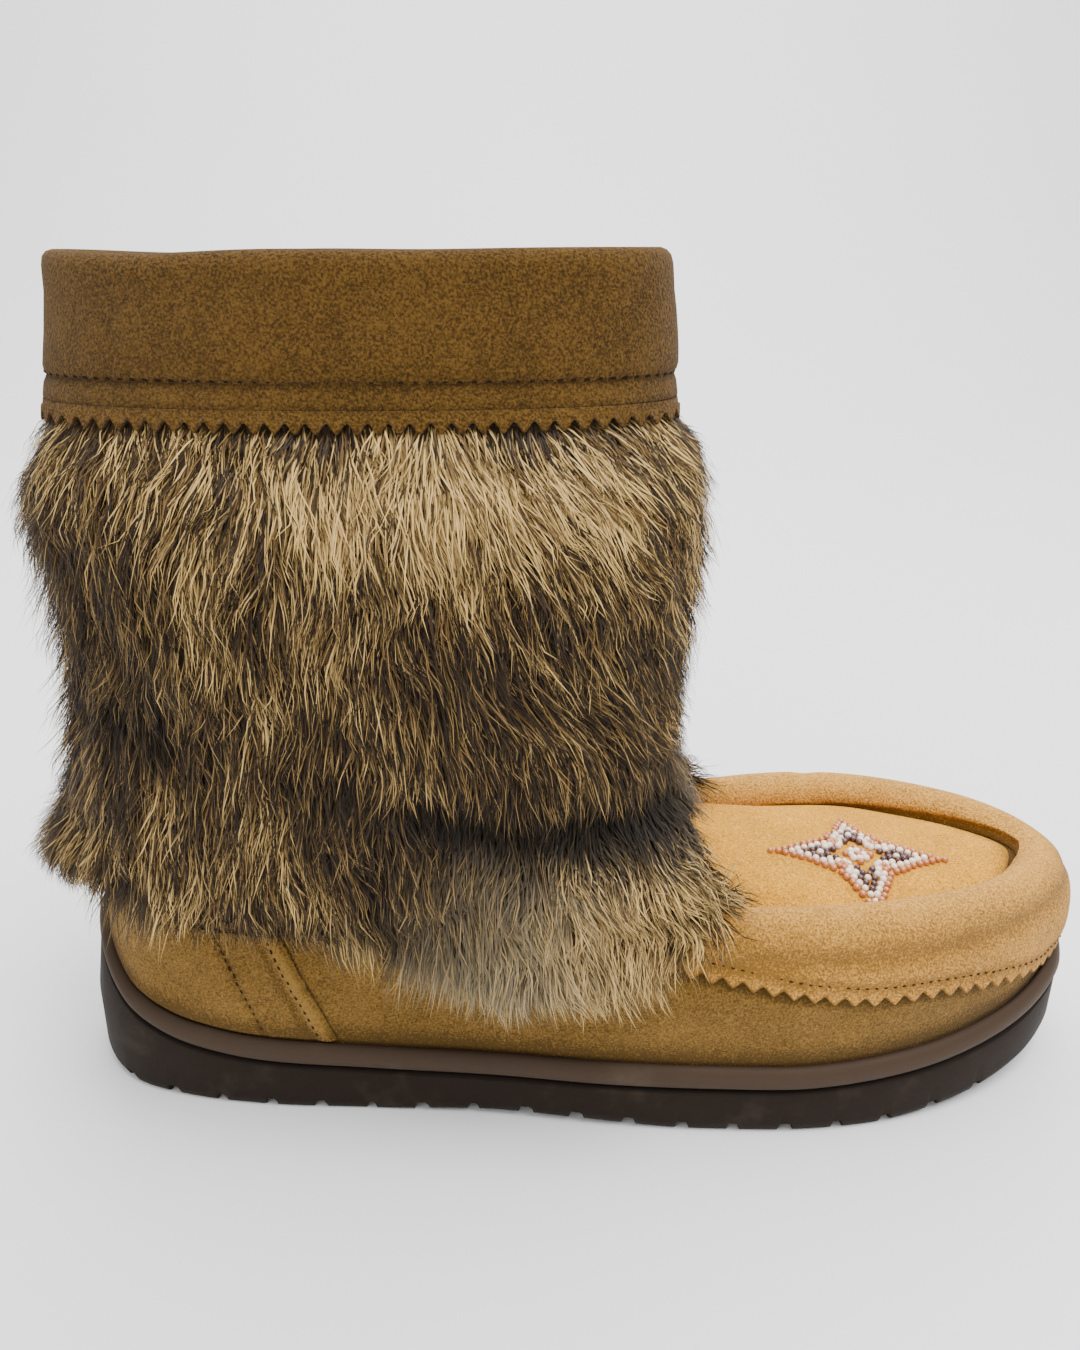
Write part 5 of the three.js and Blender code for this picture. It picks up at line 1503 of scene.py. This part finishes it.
def fur_place(turn, ring, share):
    """A place in the fur at a share of its depth, spanning the top of the foot."""
    turn, ring = np.broadcast_arrays(np.asarray(turn, float), np.asarray(ring, float))

    def lay(at):
        depth = fur_depth(turn, form.at(turn, at)[..., 2])
        return form.at(turn, at, fur_gap(turn, at) + share * depth)

    up = np.clip((ring - CREST_RING) / (ANKLE_RING - CREST_RING), 0, 1)
    low = lay(np.full(ring.shape, float(CREST_RING)))
    high = lay(np.full(ring.shape, float(ANKLE_RING)))
    span = mix(high, low, ((1 - up) ** 2)[..., None])
    span[..., 2] = mix(low[..., 2], high[..., 2], up)
    inside = (ring > CREST_RING) & (ring < ANKLE_RING)
    return np.where(inside[..., None], span, lay(ring))


def fur_hem_ring(turn):
    """The ring of the pelt's hem at each turn, a little above the hairs' hem."""
    rings = np.linspace(1.3, LAST_RING, 400)
    places = fur_place(turn[:, None], rings[None, :], 1.0)
    back = places[..., 0] + HEEL_CENTRE
    heel = 1 - smooth(back, 2, 46)
    fall = HEM_FALL * (1 - 0.75 * smooth(back, 125, 160))
    hem = table(FUR_HEM, 1, back / SOLE_LENGTH) * TOE_HEIGHT + fall + 6.5 * heel - 2.5 * (1 - heel)
    inside = (places[..., 2] > hem) & (back < FUR_FRONT - 5.5)
    return rings[np.argmax(inside, 1)]


def charted(rows, places):
    """The sum of a chart's soft spots at places."""
    total = np.zeros(places.shape[:-1])
    for x, z, wide, high, value in rows:
        near = ((places[..., 0] - x) / wide) ** 2 + ((places[..., 2] - z) / high) ** 2
        total += value * np.exp(-near)
    return total


def folded(places):
    """How deep the pelt is folded in at places."""
    total = np.zeros(places.shape[:-1])
    for x0, z0, x1, z1, width, depth in FOLDS:
        total = np.maximum(total, depth * ridge(gap_to(places, x0, z0, x1, z1), 0, width))
    return total * smooth(np.abs(places[..., 1]), 6, 18)


class BOOT_OT_fur(bpy.types.Operator):
    """Grows the rabbit fur on a pelt that is painted with its tone, length and lie"""

    bl_idname = "boot.fur"
    bl_label = "Fur"

    def execute(self, context):
        fur = settings("boot_fur")
        share = np.linspace(0, 1, PELT_ROWS)
        over, under, out = self.skin(share)
        pelt = hoop("fur_pelt", np.concatenate([over, coarse(under)[::-1]]),
                    [pelt_skin("pelt_skin", FUR_LOOK)], None, 60)
        self.paint(pelt, over, share)
        comb = self.comb(over, out)
        paint_ways(pelt, "comb", np.concatenate([comb, coarse(comb)[::-1]]))
        blade, tree, material = self.blade(), hair_tree(), hair("rabbit_hair", FUR_LOOK)
        for k, (name, mask) in enumerate(self.regions(over).items()):
            paint(pelt, name, over_only(mask))
            count = fur.count
            grown = tree.run("fur_" + name, pelt, {
                "Blade": blade, "Region": name, "Density": count / self.area_of(pelt, name),
                "Length": fur.length, "Width": fur.width * 1.0, "Lift": fur.lift,
                "Stray": fur.stray, "Clump": fur.clump, "Seed": 40 + k, "Material": material})
            dress(grown, "fur")
        remove(blade)
        dress(pelt, "fur", "fur_shaft")
        return {"FINISHED"}

    def skin(self, share):
        """The pelt's face and back, and the way outwards, in rows from its hem to its top."""
        turn = np.arange(PELT_TURNS) / PELT_TURNS
        hem = fur_hem_ring(turn)
        hem = np.convolve(np.concatenate([hem[-6:], hem, hem[:6]]), np.ones(13) / 13, "valid")
        top = form.ring_at(turn, PELT_TOP, SEAM_RING)
        ring = mix(hem[None, :], top[None, :], share[:, None])
        wide = np.broadcast_to(turn, ring.shape)
        full, low = fur_place(wide, ring, 1.0), fur_place(wide, ring, 0.0)
        deep = np.linalg.norm(full - low, axis=-1)
        out = (full - low) / np.maximum(deep[..., None], 1e-6)
        height = np.maximum(deep * 0.18, deep - 5.5) + 0.8 * noise_at(full, 34, 3) - folded(full)
        height = np.clip(height * (1 - smooth(share, 0.965, 1.0))[:, None], 0.4, None)
        return low + out * height[..., None], low + out * 0.1, out

    def regions(self, over):
        outer = (over[..., 1] < 0).astype(float)
        upper = (over[..., 2] > HALF_WAY).astype(float)
        return {"outer_upper": outer * upper, "outer_lower": outer * (1 - upper),
                "inner_upper": (1 - outer) * upper, "inner_lower": (1 - outer) * (1 - upper)}

    def area_of(self, pelt, name):
        """The area that a region's hairs are spread over, in square metres."""
        areas = np.zeros(len(pelt.data.polygons))
        pelt.data.polygons.foreach_get("area", areas)
        layer = pelt.data.attributes[name].data
        value = np.zeros(len(layer))
        layer.foreach_get("value", value)
        corners = np.zeros(len(pelt.data.loops), np.int64)
        pelt.data.loops.foreach_get("vertex_index", corners)
        return float((value[corners].reshape(-1, 4).mean(1) * areas).sum())

    def comb(self, over, out):
        """The way that the hairs lie: down the pelt, swept to the toe in front and back behind."""
        x, z = over[..., 0], over[..., 2]
        sweep = -0.22 * smooth(-x, -10, 30) * mix(0.2, 1.0, smooth(z, 80, 110))
        sweep = sweep + 0.42 * smooth(x, 60, 95) * smooth(z, 92, 120)
        sweep = sweep + 0.3 * smooth(x, 50, 80) * (1 - smooth(z, 60, 92))
        sweep = sweep * (1 - 0.9 * smooth(x, 104, 126))
        sweep = sweep + 0.28 * noise_at(over, 44, 13) + 0.2 * noise_at(over, 20, 17)
        along = np.roll(over, -1, 1) - np.roll(over, 1, 1)
        along = along / np.linalg.norm(along, axis=-1, keepdims=True)
        along = along * np.sign(along[..., :1] + 1e-9)
        down = np.zeros_like(over)
        down[..., 2] = -1
        front = smooth(x, 120, 138)
        way = down + along * sweep[..., None] * (1 - front)[..., None]
        way[..., 0] += front * mix(0.12, -0.15, smooth(z, 68, 84))
        way = way - out * (way * out).sum(-1, keepdims=True)
        return way / np.linalg.norm(way, axis=-1, keepdims=True)

    def paint(self, pelt, over, share):
        """Paints the pelt with what its hairs read: tone, grey, shade, length and nearness to the top."""
        x, z = over[..., 0], over[..., 2]
        fold = folded(over)
        rows = share[:, None]
        front = smooth(x, 104, 128)
        # Over the folds this adds painted shade to the fur's own colour
        tone = 0.15 + charted(FUR_TONE_AND_FOLD_SHADE, over) + 0.16 * noise_at(over, 30, 31) + 0.26 * noise_at(over, 13, 33)
        long = 1.0 - 0.22 * smooth(fold, 0.5, 3.5) + 0.1 * noise_at(over, 26, 35)
        long = long * mix(0.7, 1.0, 1 - smooth(rows, 0.9, 1.0))
        long = long * mix(1.0, 0.68, smooth(-x, 10, 30) * (1 - smooth(z, 90, 110)))
        long = long * mix(1.0, mix(0.78, 0.64, smooth(z, 66, 84)), front)
        long = long * mix(mix(0.75, 1.0, smooth(rows, 0, 0.1)), 1.0, front)
        painted = {
            "tone": np.clip(tone, 0, 0.8), "grey": np.clip(charted(GREYS, over), 0, 1),
            "shade": np.clip(0.9 * smooth(fold, 0.6, 3.4), 0, 0.88), "long": long,
            "top": np.broadcast_to(smooth(rows, 0.86, 0.99), tone.shape),
        }
        for name, values in painted.items():
            paint(pelt, name, layers(values, values))

    def blade(self):
        """One hair of unit length and width, tapered and bent outwards and back."""
        # Up, width and bend
        steps = ((0.0, 0.8, 0.0), (0.36, 1.0, 0.07), (0.72, 0.66, 0.06), (1.0, 0.0, -0.03))
        corners = [(bend, side * width / 2, up) for up, width, bend in steps[:-1] for side in (-1, 1)]
        corners.append((steps[-1][2], 0, steps[-1][0]))
        faces = [(0, 1, 3, 2), (2, 3, 5, 4), (4, 5, 6)]
        made = new_object("hair_shape", np.array(corners) / MM, faces, [], None, 180)
        paint(made, "along", [corner[2] for corner in corners])
        return made


# Stage

# Soft lights: place, what they face, width in metres and power in watts
SOFTBOXES = {
    "key": ((0.5, -0.35, 1.25), (0.12, 0, 0.05), 0.8, 21),
    "fill": ((-0.6, -0.8, 0.7), (0.05, 0, 0.1), 0.9, 4),
    "back": ((0.1, 0.9, 1.6), (0.1, 1.2, 0.5), 2.0, 48),
}
SKY_STRENGTH = 0.7
FLOOR_HALF, FLOOR_FRONT, FLOOR_BEND, FLOOR_TOP = 6000, -3500, 900, 5000  # millimetres


class BOOT_OT_stage(bpy.types.Operator):
    """Sets up the pale floor, the soft lights and the camera at the photograph's angle"""

    bl_idname = "boot.stage"
    bl_label = "Stage"

    def execute(self, context):
        stage = settings("boot_stage")
        self.floor(stage.floor)
        world = bpy.data.worlds.new("studio")
        context.scene.world = world
        world.use_nodes = True
        world.node_tree.nodes["Background"].inputs["Color"].default_value = (1, 1, 1, 1)
        world.node_tree.nodes["Background"].inputs["Strength"].default_value = SKY_STRENGTH
        for name, (place, target, size, power) in SOFTBOXES.items():
            self.softbox(name, place, target, size, power)
        data = bpy.data.cameras.new("camera")
        data.lens = stage.lens
        data.sensor_width = 36
        data.clip_start = 0.01
        camera = linked("camera", data)
        camera.location = stage.place
        camera.rotation_euler = (math.pi / 2 - stage.pitch, 0, 0)
        context.scene.camera = camera
        return {"FINISHED"}

    def floor(self, colour):
        """A paper sweep: flat under the boot, bent up behind it."""
        s = Shader("pale_floor", 0.85)
        paper = s.finish(s.blend(darker(colour, 0.97), colour, s.noise(6, 2)))
        bend = [(FLOOR_BEND + FLOOR_BEND * math.sin(a), FLOOR_BEND - FLOOR_BEND * math.cos(a))
                for a in np.linspace(0, math.pi / 2, 17)]
        sweep = [(FLOOR_FRONT, 0), *bend, (2 * FLOOR_BEND, FLOOR_TOP)]
        corners = [(x, y, z) for y, z in sweep for x in (-FLOOR_HALF, FLOOR_HALF)]
        faces = [(2 * k, 2 * k + 1, 2 * k + 3, 2 * k + 2) for k in range(len(sweep) - 1)]
        new_object("floor", corners, faces, [paper])

    def softbox(self, name, place, target, size, power):
        data = bpy.data.lights.new(name, "AREA")
        data.shape = "SQUARE"
        data.size = size
        data.energy = power
        light = linked(name, data)
        light.location = place
        light.rotation_euler = (Vector(target) - Vector(place)).to_track_quat("-Z", "Y").to_euler()


class BOOT_PT_panel(bpy.types.Panel):
    """Lists the boot's pieces and what can be changed on them"""

    bl_idname = "BOOT_PT_panel"
    bl_label = "Mukluk boot"
    bl_space_type = "VIEW_3D"
    bl_region_type = "UI"
    bl_category = "Boot"

    def draw(self, context):
        for group in GROUPS:
            box = self.layout.box()
            for key in getattr(context.scene, group).__annotations__:
                box.prop(getattr(context.scene, group), key)
        for operator in OPERATORS:
            self.layout.operator(operator.bl_idname)


GROUPS = {"boot_colours": BootColours, "boot_fur": FurSettings, "boot_sewing": SewingSettings,
          "boot_stage": StageSettings}
OPERATORS = (BOOT_OT_stage, BOOT_OT_outsole, BOOT_OT_insole, BOOT_OT_upper, BOOT_OT_counter, BOOT_OT_vamp,
             BOOT_OT_apron, BOOT_OT_beads, BOOT_OT_cuff, BOOT_OT_fur)


def register():
    for kind in (*GROUPS.values(), *OPERATORS, BOOT_PT_panel):
        bpy.utils.register_class(kind)
    for name, kind in GROUPS.items():
        setattr(bpy.types.Scene, name, bpy.props.PointerProperty(type=kind))


def unregister():
    for name in GROUPS:
        delattr(bpy.types.Scene, name)
    for kind in reversed((*GROUPS.values(), *OPERATORS, BOOT_PT_panel)):
        bpy.utils.unregister_class(kind)


def main():
    register()
    for operator in OPERATORS:
        group, name = operator.bl_idname.split(".")
        getattr(getattr(bpy.ops, group), name)()


if __name__ == "__main__":
    main()
